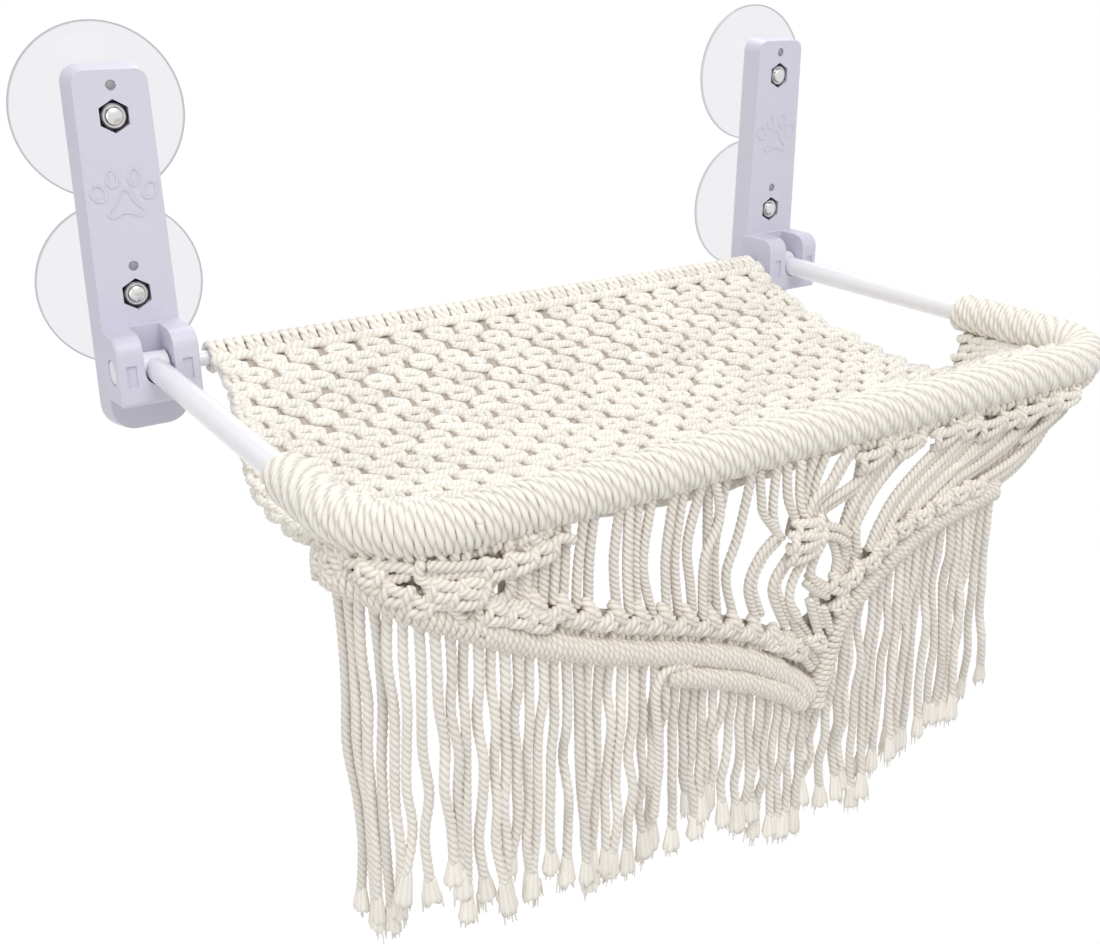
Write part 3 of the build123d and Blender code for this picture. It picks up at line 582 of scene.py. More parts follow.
# Per kind of cotton: crown and groove as shares of the two cotton colours, groove width, fibres, lobes; the
# groove colour is painted shade
COTTON = {"wound_cotton": ((1, 1, 1), (0.86, 0.86, 0.88), 0.55, 0.35, 0.6),
          "header_cotton": ((1, 1, 1), (1.05, 1.06, 1.08), 0.42, 0.25, 0.3),
          "knotted_cotton": ((1, 1, 1), (1.08, 1.10, 1.14), 0.4, 0.3, 0.7),
          "skirt_cotton": ((0.95, 0.925, 0.915), (0.90, 0.885, 0.88), 0.45, 0.35, 0.4),
          "fringe_cotton": ((0.95, 0.935, 0.93), (0.97, 0.96, 0.98), 0.45, 0.3, 0.3),
          "brushed_cotton": ((1, 0.99, 0.98), (1.12, 1.12, 1.12), 0.3, 0.4, 0.2),
          # The two webs' cotton is darkened: painted shade behind and between the cords
          "shaded_skirt_web_cotton": ((0.80, 0.75, 0.73), (0.66, 0.62, 0.60), 0.6, 0.4, 0.6),
          "shaded_web_cotton": ((0.60, 0.54, 0.52), (0.64, 0.60, 0.59), 0.5, 0.4, 0.5)}


def cotton_material(name, colours, depth=0.3 * MM):
    """Cotton cord: strands and fibres from the UV map, matt with a soft sheen."""
    if name in bpy.data.materials:
        return bpy.data.materials[name]
    material, tree, shader, bump = new_material(
        name, depth, 0.8, Roughness=0.9, Specular_IOR_Level=0.2, Sheen_Weight=0.25, Sheen_Roughness=0.5)
    crown_shares, groove_shade_shares, width, fibre, lobes = COTTON[name]
    crown = tuple(colour * share for colour, share in zip(colours.cotton, crown_shares))
    groove = tuple(colour * share for colour, share in zip(colours.cotton_groove_shade, groove_shade_shares))
    laid = placed_group(tree, shared_group("cotton_strands", strand_group), Crown=crown, Groove=groove,
                        Groove_Width=width, Fibre=fibre, Lobes=lobes)
    tree.links.new(laid.outputs["Color"], shader.inputs["Base Color"])
    tree.links.new(laid.outputs["Height"], bump.inputs["Height"])
    return material


def grained_material(name, colour, scale, dust, roughness, depth, metallic=0.0, coat=0.0):
    """Plastic, coating or plated steel with fine grain."""
    material, tree, shader, bump = new_material(name, depth, 0.5, Metallic=metallic, Coat_Weight=coat)
    grain = placed_group(tree, shared_group("surface_grain", grain_group), Color=tuple(colour),
                         Grain_Scale=scale, Dust=dust, Roughness=roughness)
    tree.links.new(grain.outputs["Color"], shader.inputs["Base Color"])
    tree.links.new(grain.outputs["Roughness"], shader.inputs["Roughness"])
    tree.links.new(grain.outputs["Height"], bump.inputs["Height"])
    return material


def dress_node(name, material):
    """Gives a CAD node its finished material."""
    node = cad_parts[name]
    node.data.materials.clear()
    node.data.materials.append(material)


# The photograph's camera: focal length for a frame 36 mm wide, place in millimetres, and the directions
# into the picture, to its right and up
CAMERA_LENS = 40.70
CAMERA_PLACE = (-370.0, -644.3, 108.9)
CAMERA_LOOK = (0.5078, 0.7739, -0.3785)
CAMERA_RIGHT = (0.8361, -0.5486, 0.0)
CAMERA_UP = (0.2076, 0.3165, 0.9256)
# Lamps: place and size in millimetres, power in watts. They aim at the middle of the perch
LAMPS = (("key", (-50, -1000, 1150), 900, 11.3), ("fill", (-1200, -700, 150), 900, 3.3),
         ("back", (400, 600, 900), 800, 6.0))
LAMP_AIM = (0, -150, -120)
# The floor's half width and its height, in metres
FLOOR_HALF, FLOOR_HEIGHT = 6.0, -0.75


class PERCH_OT_stage(bpy.types.Operator):
    """Camera at the photograph's angle, plain lamps, white surroundings and a pale floor"""
    bl_idname = "perch.stage"
    bl_label = "Stage"

    def execute(self, context):
        scene = context.scene
        scene.view_settings.view_transform = "Standard"
        camera = bpy.data.cameras.new("perch_camera")
        camera.lens, camera.sensor_width = CAMERA_LENS, 36.0
        camera.clip_start, camera.clip_end = 0.02, 40.0
        holder = bpy.data.objects.new("perch_camera", camera)
        scene.collection.objects.link(holder)
        turn = Matrix((CAMERA_RIGHT, CAMERA_UP, -Vector(CAMERA_LOOK))).transposed().to_4x4()
        holder.matrix_world = Matrix.Translation(Vector(CAMERA_PLACE) * MM) @ turn
        scene.camera = holder
        self.lamps(scene)
        self.world(scene, scene.perch_colours)
        self.floor(scene, scene.perch_colours)
        return {"FINISHED"}

    def lamps(self, scene):
        """A broad key over the camera's right shoulder, a fill from the left and one from behind."""
        aim = Vector(LAMP_AIM) * MM
        for name, place, size, power in LAMPS:
            lamp = bpy.data.lights.new(f"{name}_lamp", "AREA")
            lamp.size, lamp.energy = size * MM, power
            holder = bpy.data.objects.new(f"{name}_lamp", lamp)
            holder.location = Vector(place) * MM
            holder.rotation_euler = (aim - holder.location).to_track_quat("-Z", "Y").to_euler()
            scene.collection.objects.link(holder)

    def world(self, scene, colours):
        """Soft light all round, and plain white where the camera, a gloss or clear plastic sees it."""
        world = bpy.data.worlds.new("perch_world")
        world.use_nodes = True
        tree = world.node_tree
        light, seen = tree.nodes["Background"], tree.nodes.new("ShaderNodeBackground")
        set_values(light, {"Color": colours.paper, "Strength": 0.53})
        set_values(seen, {"Color": colours.paper})
        mixed_shader(tree, seen_plain(tree), light.outputs[0], seen.outputs[0], "World Output")
        scene.world = world

    def floor(self, scene, colours):
        """A plain pale floor well below the hanging fringe."""
        mesh = bpy.data.meshes.new("floor")
        corners = [(x * FLOOR_HALF, y * FLOOR_HALF, FLOOR_HEIGHT)
                   for x, y in ((-1, -1), (1, -1), (1, 1), (-1, 1))]
        mesh.from_pydata(corners, [], [(0, 1, 2, 3)])
        floor = bpy.data.objects.new("floor", mesh)
        scene.collection.objects.link(floor)
        material, tree, shader, bump = new_material("pale_floor", 0.2 * MM, Base_Color=(0.86, 0.86, 0.86),
                                                    Roughness=0.8)
        tree.links.new(noise(tree, object_place(tree), 60.0), bump.inputs["Height"])
        seen = tree.nodes.new("ShaderNodeEmission")
        set_values(seen, {"Color": colours.paper, "Strength": 1.04})
        share = maths(tree, "MULTIPLY", seen_plain(tree), 0.93)
        mixed_shader(tree, share, shader.outputs[0], seen.outputs[0], "Material Output")
        mesh.materials.append(material)


class PERCH_OT_hardware(bpy.types.Operator):
    """Finishes of the brackets, cups, steel parts and the coated tube"""
    bl_idname = "perch.hardware"
    bl_label = "Hardware"

    def execute(self, context):
        colours = context.scene.perch_colours
        plastic = grained_material("moulded_plastic", colours.plastic, 1400, 0.05, 0.42, 0.06 * MM)
        for name in ("bracket_left", "bracket_right"):
            dress_node(name, plastic)
        nylon = grained_material("white_nylon", colours.tube, 900, 0.05, 0.45, 0.05 * MM)
        for name in ("arm_knuckle_left", "arm_knuckle_right", "rod_end_cap_left", "rod_end_cap_right"):
            dress_node(name, nylon)
        coating = grained_material("powder_coat", colours.tube, 500, 0.04, 0.22, 0.05 * MM, coat=0.4)
        for name in ("frame_tube", "hinge_rod"):
            dress_node(name, coating)
        steel = grained_material("plated_steel", colours.steel, 700, 0.2, 0.25, 0.04 * MM, metallic=1.0)
        dress_node("cup_studs", steel)
        clear = self.clear_plastic()
        for level in ("upper", "lower"):
            for side in ("left", "right"):
                dress_node(f"suction_cup_{level}_{side}", clear)
        self.fasteners(colours, steel)
        return {"FINISHED"}

    def fasteners(self, colours, steel):
        """Bevelled nuts with painted shade on their bevels, the studs' threaded ends and the cups' peg ends,
        seen in their recesses.
        """
        nut_steel, tree, shader, bump = new_material("nut_steel", 0.08 * MM, Metallic=1.0, Roughness=0.3)
        # Painted shade: from 4.9 to 5.6 mm out from the stud the steel goes over to dark grey, for the dark
        # gap round the nut in its pocket
        edge = placed_group(tree, shared_group("distance_from_stud", radial_group), Inner=4.9 * MM,
                            Outer=5.6 * MM)
        shaded_bevel = mixed(tree, edge.outputs[0], colours.steel, colours.bevel_shade_and_peg_grey)
        tree.links.new(shaded_bevel, shader.inputs["Base Color"])
        tree.links.new(noise(tree, object_place(tree), 900.0), bump.inputs["Height"])
        # The pegs' ends take their own grey, three times as light as the bevels' painted shade
        grey = grained_material("peg_grey", [3 * value for value in colours.bevel_shade_and_peg_grey], 900, 0.1, 0.4, 0.05 * MM)
        nuts, tips, pegs = Skein(), Skein(), Skein()
        for x in (-ARM_X, ARM_X):
            for z in (-STUD_Z, STUD_Z):
                self.nut(nuts, x, z)
                self.disc(tips, x, z, STUD_RADIUS, NUT_FRONT + 0.3 * MM, 1.7 * MM, 0.22)
                self.disc(pegs, x, z + PEG_RISE, PEG_RADIUS, NUT_FRONT + 0.4 * MM, 0.5 * MM, 0.0)
        finish_piece(nuts.piece("bevelled_nuts"), nut_steel, "plated_steel", "brackets", "stud_nuts")
        finish_piece(tips.piece("threaded_stud_ends"), steel, "plated_steel", "brackets")
        finish_piece(pegs.piece("peg_ends"), grey, "clear_cup", "brackets")

    def nut(self, skein, x, z):
        """A hexagon r = a / cos v, v within 30 degrees of a flat, whose corners a cone bevels."""
        turn = circle(48)
        hexagon = NUT_HALF_FLAT / np.cos((turn % (np.pi / 3)) - np.pi / 6)
        bore, face = np.full_like(turn, NUT_BORE), np.full_like(turn, NUT_HALF_FLAT * 0.9)
        bevel, rear = (hexagon - face) * 0.58, NUT_REAR - NUT_FRONT
        rows = [(bore, NUT_CHAMFER), (bore + NUT_CHAMFER, 0.0), (face, 0.0),
                (hexagon, bevel), (hexagon, rear), (bore, rear)]
        rings = [np.stack([x + r * np.cos(turn), NUT_FRONT + depth + 0 * turn, z + r * np.sin(turn)], -1)
                 for r, depth in rows]
        turned(skein, np.array(rings))

    def disc(self, skein, x, z, radius, seat, proud, thread):
        """A domed round end: a quarter ellipse over a shank with thread rings, r = R - t |sin|."""
        turn, share = circle(24), np.linspace(0, 1, 13)
        dome = np.clip((share - 0.72) / 0.28, 0, 1)
        reach = radius * np.sqrt(1 - 0.75 * dome ** 2) - thread * MM * np.abs(np.sin(share * 9)) * (dome == 0)
        reach = reach[:, None]
        y = seat - (proud + 0.4 * MM * dome ** 2) * share
        ring = np.stack([x + reach * np.cos(turn), y[:, None] + 0 * turn, z + reach * np.sin(turn)], -1)
        poles = np.array([[x, seat, z], [x, y[-1] - 0.3 * MM, z]])
        sleeve(skein, ring[None], poles[None], np.zeros((1, 13, 25, 2)))

    def clear_plastic(self):
        """Clear soft plastic: glass-like, with a little haze, faint flow marks and a rim painted grey as
        shade.
        """
        material, tree, shader, bump = new_material("clear_plastic", 0.3 * MM, 0.3, Transmission_Weight=1.0,
                                                    IOR=1.12)
        # Painted shade: from 40.9 to 41.5 mm out from the stud the cup's colour goes over to grey, for its
        # dark edge
        rim = placed_group(tree, shared_group("distance_from_stud", radial_group), Inner=40.9 * MM,
                           Outer=41.5 * MM)
        tree.links.new(mixed(tree, rim.outputs[0], (0.87, 0.865, 0.895), (0.50, 0.50, 0.54)),
                       shader.inputs["Base Color"])
        place = object_place(tree)
        haze = maths(tree, "MULTIPLY", noise(tree, place, 45.0, 3.0), 0.08)
        tree.links.new(maths(tree, "ADD", 0.03, haze), shader.inputs["Roughness"])
        tree.links.new(noise(tree, place, 22.0, 1.0), bump.inputs["Height"])
        return material


class PERCH_OT_windings(bpy.types.Operator):
    """Cord wound round the front bar, its corners and the ends of the arms"""
    bl_idname = "perch.windings"
    bl_label = "Windings"

    def execute(self, context):
        cord = context.scene.perch_cord
        bend = CORNER_RADIUS * math.pi / 2
        left_end = -(CORNER_X + bend + LEFT_WOUND_Y - WINDING_SET_BACK - CORNER_Y)
        right_end = CORNER_X + bend + RIGHT_WOUND_Y - CORNER_Y
        stops = [left_end, -CORNER_X - bend, -CORNER_X, CORNER_X, CORNER_X + bend, right_end]
        pitches = [cord.wound_pitch, cord.corner_pitch, cord.wound_pitch, cord.corner_pitch, cord.wound_pitch]
        turns = np.r_[0, np.cumsum(np.diff(stops) / pitches)]
        cotton = cotton_material("wound_cotton", context.scene.perch_colours)
        for i, word in enumerate(("arm_left", "corner_left", "front", "corner_right", "arm_right")):
            skein = Skein()
            self.wind(skein, cord, stops, turns, stops[i], stops[i + 1])
            piece = skein.piece(f"{word}_winding")
            node = {"arm": "arm_wrap", "corner": "corner_wrap"}.get(word.split("_")[0], "front_wrap")
            finish_piece(piece, cotton, "cotton_cord", "frame",
                         node if word == "front" else f"{node}_{word.split('_')[1]}")
        return {"FINISHED"}

    def wind(self, skein, cord, stops, turns, start, end):
        """One stretch of the helix: bar + R (cos v out + sin v up), where v grows by a turn a pitch."""
        radius = cord.diameter / 2
        reach = WRAP_RADIUS - radius * 0.95
        first, last = np.interp([start, end], stops, turns)
        rings = int((last - first) * 2 * math.pi * reach / cord.step)
        turn = np.linspace(first, last, rings)
        s = np.interp(turn, turns, stops)
        s = s + 0.35 * MM * waves(turn, (7.3, 3.1, 17.7), (0.4, 2.0, 1.1))
        centre, out = round_the_frame(s, CORNER_RADIUS)
        angle = 2 * np.pi * turn
        radial = np.cos(angle)[:, None] * out + np.sin(angle)[:, None] * np.array([0, 0, 1.0])
        uneven = 1 + 0.025 * waves(turn, (1.37, 5.3), (0, 1.0))[:, None]
        strands(skein, centre + radial * reach * uneven, radial, radius, cord, lay=cord.wound_lay)


class PERCH_OT_header(bpy.types.Operator):
    """Loops of cord knotted over the hinge rod at the back of the seat"""
    bl_idname = "perch.header"
    bl_label = "Rear header"

    def execute(self, context):
        cord, seat = context.scene.perch_cord, context.scene.perch_seat
        skein = Skein()
        rod = HEADER_RADIUS - cord.diameter
        count = int((header_high.x - header_low.x) / seat.header_pitch)
        middles = (np.arange(count) - (count - 1) / 2) * seat.header_pitch
        radius = cord.diameter / 2 * 1.06
        reach = rod + radius
        turn = np.linspace(-0.62, 0.60, 32) * 2 * np.pi
        tone = np.random.default_rng(5).uniform(0.2, 0.9, count)
        for half in (-1, 1):
            x = middles[:, None] + half * (radius * 1.02 - 0.3 * MM * np.cos(turn))
            radial = np.stack([0 * turn, -np.cos(turn), np.sin(turn)], -1)
            paths = np.array([0, HINGE_Y, HINGE_Z]) + reach * radial + x[..., None] * np.array([1, 0, 0])
            strands(skein, paths, radial, radius, cord, tone=tone, lay=cord.wound_lay * 0.8)
        bar = np.linspace(-1, 1, 9)
        lift = (1 - bar ** 4) * radius
        x = middles[:, None] + bar * seat.header_pitch * 0.44
        paths, normal = seat_place(x, 2.4 * MM, 0.6 * MM + 1.3 * lift + 0 * x)
        strands(skein, paths, normal, radius * 1.1, cord, sides=10, twisted=False, tone=tone)
        cotton = cotton_material("header_cotton", context.scene.perch_colours)
        finish_piece(skein.piece("rear_header"), cotton, "cotton_cord", "frame", "rear_wrap")
        return {"FINISHED"}


class PERCH_OT_seat(bpy.types.Operator):
    """The knotted seat: rows of square knots on both faces of a thin sagging web"""
    bl_idname = "perch.seat"
    bl_label = "Seat"

    def execute(self, context):
        cord, seat = context.scene.perch_cord, context.scene.perch_seat
        colours = context.scene.perch_colours
        knotted = cotton_material("knotted_cotton", colours, 0.45 * MM)
        web = self.web(seat)
        # The web's darkened cotton is painted shade between and behind the knots
        finish_piece(web, cotton_material("shaded_web_cotton", colours), "cotton_knots", "frame", "seat_panel")
        pieces = []
        for name, face in (("seat_knots_upper", 1), ("seat_knots_lower", -1)):
            skein = Skein()
            self.knots(skein, cord, seat, face)
            if face > 0:
                self.borders(skein, cord)
                self.curtain_knots(skein, cord, seat)
            pieces.append(finish_piece(skein.piece(name), knotted, "cotton_knots", "frame"))
        for piece in [web, *pieces]:
            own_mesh(piece)
        return {"FINISHED"}

    def places(self, seat):
        """Where the knots sit: rows along the cloth, every other one moved by half a column.

        What is left of a row at the side edges gets a narrower knot. Across, along, half width.
        """
        rows = int((seat_run[-1] - 9 * MM) / seat.row_pitch)
        wide, apart = seat.knot_width / 2, seat.column_pitch
        found = []
        for row in range(rows):
            at = (row + 1.05) * seat.row_pitch
            edge = seat_half_width(np.interp(at, seat_run, seat_y)) - 2 * MM
            x = (np.arange(-12, 13) + 0.5 * (row % 2)) * apart
            x = x[np.abs(x) + wide <= edge]
            found += [(place, at, wide) for place in x]
            for side, start in ((-1, apart - wide - x[0]), (1, x[-1] + apart - wide)):
                if edge - start > 4 * MM:
                    found.append((side * (edge + start) / 2, at, (edge - start) / 2))
        return np.array(found).T

    def knots(self, skein, cord, seat, face):
        """A knot is two bars of cord across it, arched over the fillers, and a loop down each side."""
        x, run, half = self.places(seat)
        count = len(x)
        rng = np.random.default_rng(3)
        x = x + rng.normal(0, 0.5 * MM, count)
        run = run + rng.normal(0, 0.4 * MM, count)
        tone = rng.uniform(0.1, 0.9, count)
        radius = seat.bar_radius * rng.uniform(0.94, 1.06, count)[:, None]
        share = np.linspace(-1, 1, 7)
        rise = 0.9 * MM
        for level in (-1, 1):
            lean = rng.normal(0, 0.5 * MM, (count, 1)) + 0.5 * MM * level
            u = x[:, None] + level * 0.5 * MM + share * (half[:, None] - radius * 0.2)
            apart = radius * 0.95 + 1.0 * MM * (1 - 1.9 * share ** 2)
            v = run[:, None] + level * apart + lean * share * level
            high = face * (rise + rng.uniform(0.9, 1.8, (count, 1)) * MM * np.sqrt(1 - 0.92 * share ** 2))
            paths, normal = seat_place(u, v, high)
            strands(skein, paths, normal, radius * (1 - 0.14 * share ** 2), cord, sides=8, twisted=False,
                    flat=1.12, tone=tone)
        share = np.linspace(-1, 1, 4)
        for side, chance, reach in ((1, 0.95, 0.82), (-1, 0.8, 0.78), (1, 0.6, 0.2)):
            some = np.flatnonzero(rng.random(count) < chance)
            u = x[some, None] + side * (half[some, None] * reach + 0.6 * MM - 1.1 * MM * share ** 2)
            v = run[some, None] + share * radius[some] * 1.3 + 0.5 * MM * side
            high = face * (rise + rng.uniform(1.6, 2.4, (len(some), 1)) * MM * (1 - 0.6 * share ** 2))
            paths, normal = seat_place(u, v, high)
            strands(skein, paths, normal, radius[some] * 0.8, cord, sides=6, twisted=False, tone=tone[some])

    def borders(self, skein, cord):
        """Two cords down each side edge, waving in and out with the rows."""
        run = np.arange(2 * MM, seat_run[-1] - 3 * MM, 1.2 * MM)
        y = np.interp(run, seat_run, seat_y)
        turn = 2 * np.pi * run / (18.2 * MM)
        for side in (-1, 1):
            for inward, wave in ((2.6 * MM, 1.1 * MM), (5.6 * MM, -0.9 * MM)):
                x = side * (seat_half_width(y) - inward + wave * np.cos(turn))
                paths, normal = seat_place(x, run, wave * np.sin(turn))
                strands(skein, paths, normal, cord.diameter / 2 * 0.95, cord, sides=8, twisted=False)

    def web(self, seat):
        """The cloth behind the knots, whose darkened cotton is painted shade: a closed sheet with an upper
        and a lower face.

        Both faces are the seat's surface moved up or down by half the thickness, which falls to
        nothing at the edges; share across runs from -1 to 1 between the side edges.
        """
        share = np.linspace(-1, 1, 150)
        run = np.linspace(0.5 * MM, seat_run[-1] - 0.5 * MM, 130)
        half = seat_half_width(np.interp(run, seat_run, seat_y)) - 2.0 * MM
        x = half[:, None] * share
        along = run[:, None] + 0 * x
        body = np.minimum(1, (1 - np.abs(share)) * 30)
        body = body * np.minimum(1, np.minimum(run, run[::-1])[:, None] / (4 * MM))
        ripple = np.cos(2 * np.pi * x / seat.column_pitch) * np.cos(np.pi * along / seat.row_pitch)
        thick = seat.web / 2 * body * (0.75 + 0.25 * ripple)
        skein = Skein()
        grid = np.stack([x / (3.2 * MM), along / (7 * MM)], -1)
        slab(skein, seat_place(x, along, thick)[0], seat_place(x, along, -thick)[0], grid)
        down, back = np.linspace(0, 1, 13)[:, None], np.linspace(0, 1, 27)
        for side in (-1, 1):
            thin = MM * np.minimum(1, 8 * np.minimum(down, 1 - down) + 0.2) + 0 * back
            faces = [self.curtain(side, back, down, level * thin) for level in (1, -1)]
            slab(skein, *faces, np.stack([14 * back + 0 * down, 8 * down + 0 * back], -1))
        return skein.piece("seat_web")

    def curtain(self, side, back, down, outwards):
        """A place on the cloth that hangs from a wound arm's front end to the seat's side edge."""
        y = CORNER_Y + (curtain_end(side) - CORNER_Y) * back
        run = np.interp(-y, -seat_y, seat_run)
        low = seat_place(side * (seat_half_width(y) - 2 * MM), run)[0]
        high = np.stack([0 * y + side * (ARM_X - 3.5 * MM), y, 0 * y + HINGE_Z - WRAP_RADIUS + 1.5 * MM], -1)
        place = high * (1 - down[..., None]) + low * down[..., None]
        place[..., 0] += side * outwards
        return place

    def curtain_knots(self, skein, cord, seat):
        """Short bars of cord in rows on both faces of each curtain."""
        share = np.linspace(-1, 1, 7)
        for side in (-1, 1):
            length = abs(curtain_end(side) - CORNER_Y)
            for row, down in enumerate((0.14, 0.36, 0.58, 0.80)):
                middles = np.arange(0.5 + 0.5 * (row % 2), length / CURTAIN_PITCH) * CURTAIN_PITCH / length
                back = np.clip(middles[:, None] + share * 4.6 * MM / length, 0, 1)
                for face in (-1, 1):
                    lift = face * (1 * MM + 1.6 * MM * np.sqrt(1 - 0.9 * share ** 2)) + 0 * back
                    paths = self.curtain(side, back, down + 0.05 * share + 0 * back, lift)
                    strands(skein, paths, np.array([side, 0.0, 0.0]), seat.bar_radius, cord, sides=8,
                            twisted=False)


# The skirt, in millimetres along the frame from its middle, in height, and in front of its middle.
# The hem's centreline on both sides of the V, and the short second roll
HEM_LEFT = [
    (-230.6, -97.7, 0), (-214.7, -99.4, 0), (-200.5, -104.5, 0), (-186.2, -110.4, 0), (-171, -118.5, 0),
    (-153, -128.5, 0), (-135, -137, 0), (-116, -145, 0), (-95, -152.5, 0), (-74, -159.5, 0), (-52, -168, 0),
    (-27, -180.5, 0), (-8, -194.5, 0), (3, -206, 0.5)]
HEM_RIGHT = [
    (122, -130, 0), (104, -132.8, 0), (84, -136, 0), (70, -140, 0), (58, -144.8, 0), (47, -150, 0),
    (38, -157, 0), (30, -162.5, 0), (22.5, -169, 0), (17.5, -178, 0), (14.5, -188, 0), (11.5, -198, 0.5),
    (9, -206, 1), (7.5, -213, 2)]
HEM_LOWER = [
    (-83, -168.5, -2), (-76, -169.5, 1), (-62, -174.5, 2), (-45, -181.5, 2), (-30, -189, 2), (-12, -200, 2),
    (-2, -208.5, 1.5)]

# Where the left corner's pieces end and those of the front begin
CORNER_END = -172 * MM

# Cords of the skirt: how many lie side by side, how far in front, then along and height.
# From the bar to the row of half knots on the left
LEFT_CORDS = [
    (1, 0.3, [(-137.1, -85), (-137.5, -102), (-138.5, -117)]),
    (1, 0.3, [(-132.5, -85), (-133, -104), (-133.8, -120)]),
    (1, 0.2, [(-124.1, -85), (-126.8, -104), (-127.5, -122)]),
    (1, 0, [(-119.4, -85), (-121.5, -104), (-121.6, -126)]),
    (1, 0.7, [(-107.8, -85), (-110.2, -107), (-108, -130)]),
    (1, 1.5, [(-103.9, -85), (-104.2, -110), (-102.5, -132)]),
    (1, 0, [(-98.4, -85), (-99.4, -110), (-97.1, -133)]),
    (1, 0.8, [(-92.4, -85), (-95.8, -112), (-90, -137)]),
    (1, 0.8, [(-81.2, -85), (-84.4, -112), (-82.6, -138)]),
    (1, 0, [(-76.0, -85), (-79.2, -114), (-75.6, -141)]),
    (1, 1, [(-67.5, -85), (-73.5, -108), (-71, -128), (-68.8, -142)]),
    (1, 2.2, [(-61.0, -85), (-58.0, -101), (-65.0, -118), (-64.4, -145)]),
    (1, 0, [(-53.7, -85), (-57.8, -112), (-57.0, -130), (-54.6, -147)]),
    (1, 0.3, [(-39.8, -85), (-45.5, -112), (-51.0, -130), (-45.6, -150)]),
    (1, 3, [(-71, -165.5), (-78, -163.4), (-85.5, -165), (-88.6, -174), (-87, -192), (-86, -212),
         (-87, -236)]),
    (1, -1, [(-62.5, -85), (-61.5, -104), (-60.4, -124), (-59.5, -146)])]

# Round the left corner, where they are knotted close together
CORNER_CORDS = [
    (1, 3, [(-218, -89), (-208.2, -88), (-199.9, -87.8), (-192, -89.5)]),
    (1, 3, [(-216.7, -94), (-209.4, -92.9), (-202.8, -93.1), (-196, -91)]),
    (1, 4, [(-211.6, -96.2), (-204.9, -97.8), (-198, -97.2)]),
    (2, 2, [(-201, -99.8), (-194, -100.8), (-187.5, -104), (-180, -108)]),
    (2, 3, [(-213, -95), (-208.9, -101), (-203.3, -103.3), (-197, -104.6), (-190.4, -107.2), (-183.6, -109),
         (-175, -112)]),
    (1, 2, [(-218.3, -84.7), (-221.4, -90.5), (-219, -96.5)]),
    (1, 4, [(-191.8, -86), (-192.7, -91.4), (-188.6, -95.7), (-186.6, -101), (-182.1, -105.2),
         (-178.5, -110.5)]),
    (1, 1, [(-229.4, -85.9), (-225.7, -91.8), (-220.3, -96.5), (-213, -100)]),
    (1, 1, [(-236.7, -87.6), (-240, -96), (-239.5, -104)]), (1, 1, [(-233, -86), (-234, -93), (-231, -99)])]
BESIDE_CORNER_CORDS = [
    (1, 2, [(-192, -91.5), (-184, -90.5), (-176, -91.5)]),
    (1, 4, [(-189.5, -87), (-180.7, -88.8), (-172.4, -90), (-164, -92.5)]),
    (1, 3.5, [(-188.6, -92.8), (-180.7, -92), (-172.5, -93.8), (-165, -96)]),
    (2, 2.5, [(-171, -91), (-169.5, -100), (-170.5, -111), (-168, -118)]),
    (1, 2.5, [(-159.5, -98), (-163.5, -97.6), (-167.6, -101), (-166.5, -105.8), (-162, -107)]),
    (1, 3, [(-161, -96), (-158.6, -102), (-161.5, -108)]),
    (2, 1, [(-156, -85), (-155, -100), (-155.5, -113)]),
    (2, 1, [(-149.5, -85), (-148.7, -101), (-149.5, -116)]),
    (1, 1, [(-143.8, -85), (-143, -102), (-144, -119)]),
    (1, 3, [(-168, -107), (-160, -110), (-151, -114), (-142, -120)]),
    (1, 3.5, [(-150, -85), (-143, -91), (-137, -89), (-131, -91)])]

# The centre motif, from the bar into its knot and from it down to the hem
CENTRE_CORDS = [
    (1, 1, [(-26.7, -85), (-27.3, -104.7), (-23.1, -119)]),
    (1, 2, [(-22, -85), (-20.1, -100.2), (-16.3, -108.9), (-10.5, -118.3)]),
    (1, 1, [(-36.5, -85), (-34.4, -97.6), (-32.9, -104.9), (-26.5, -113.4), (-21, -120)]),
    (1, 3, [(-15, -85), (-14.5, -97.7), (-12.7, -106.7), (-9, -114)]),
    (2, 4, [(15, -85), (10, -91), (3.4, -100.3), (-5.1, -105.8), (-8, -115)]),
    (2, 2, [(42, -86), (33, -95), (23.3, -104), (9.5, -108.8), (1.7, -111.7), (-1.4, -119.8)]),
    (1, 1, [(-5, -85), (-8.5, -97), (-9, -108)]), (1, 1, [(2, -85), (-3, -97), (-4.5, -106)]),
    (2, 4, [(-2, -119.5), (4, -122), (11, -124.6), (18, -129.5)]),
    (2, 1, [(-23, -119.8), (-31.9, -127), (-36.6, -139.3), (-30.5, -156)]),
    (2, 2, [(-14.2, -129), (-22.2, -138.5), (-22.5, -146.6), (-14.1, -163)]),
    (1, 3, [(-5.6, -130), (-13.5, -140), (-15.2, -150.3), (-9, -162)]),
    (1, 3, [(3.2, -125), (-1.9, -133.4), (-3, -142.2), (6.2, -152.5)]),
    (2, 2, [(10.6, -126.9), (15.1, -138), (13.9, -151)]),
    (3, 1, [(21.4, -128), (21.6, -139.7), (20.4, -153)]), (2, 3, [(-5, -143.4), (1.5, -149), (9.5, -154)]),
    (2, 3, [(-1.2, -153.4), (2, -162), (6.4, -172.2)]), (1, 3, [(6, -160.4), (9.7, -168), (11.8, -174.9)]),
    (2, 2, [(-6.5, -175.1), (-2, -182), (5, -191)]), (2, 2, [(-19.2, -168.6), (-12, -172), (-5, -173)]),
    (2, 1.5, [(-10, -160), (-6, -168), (2, -178), (8, -190)])]

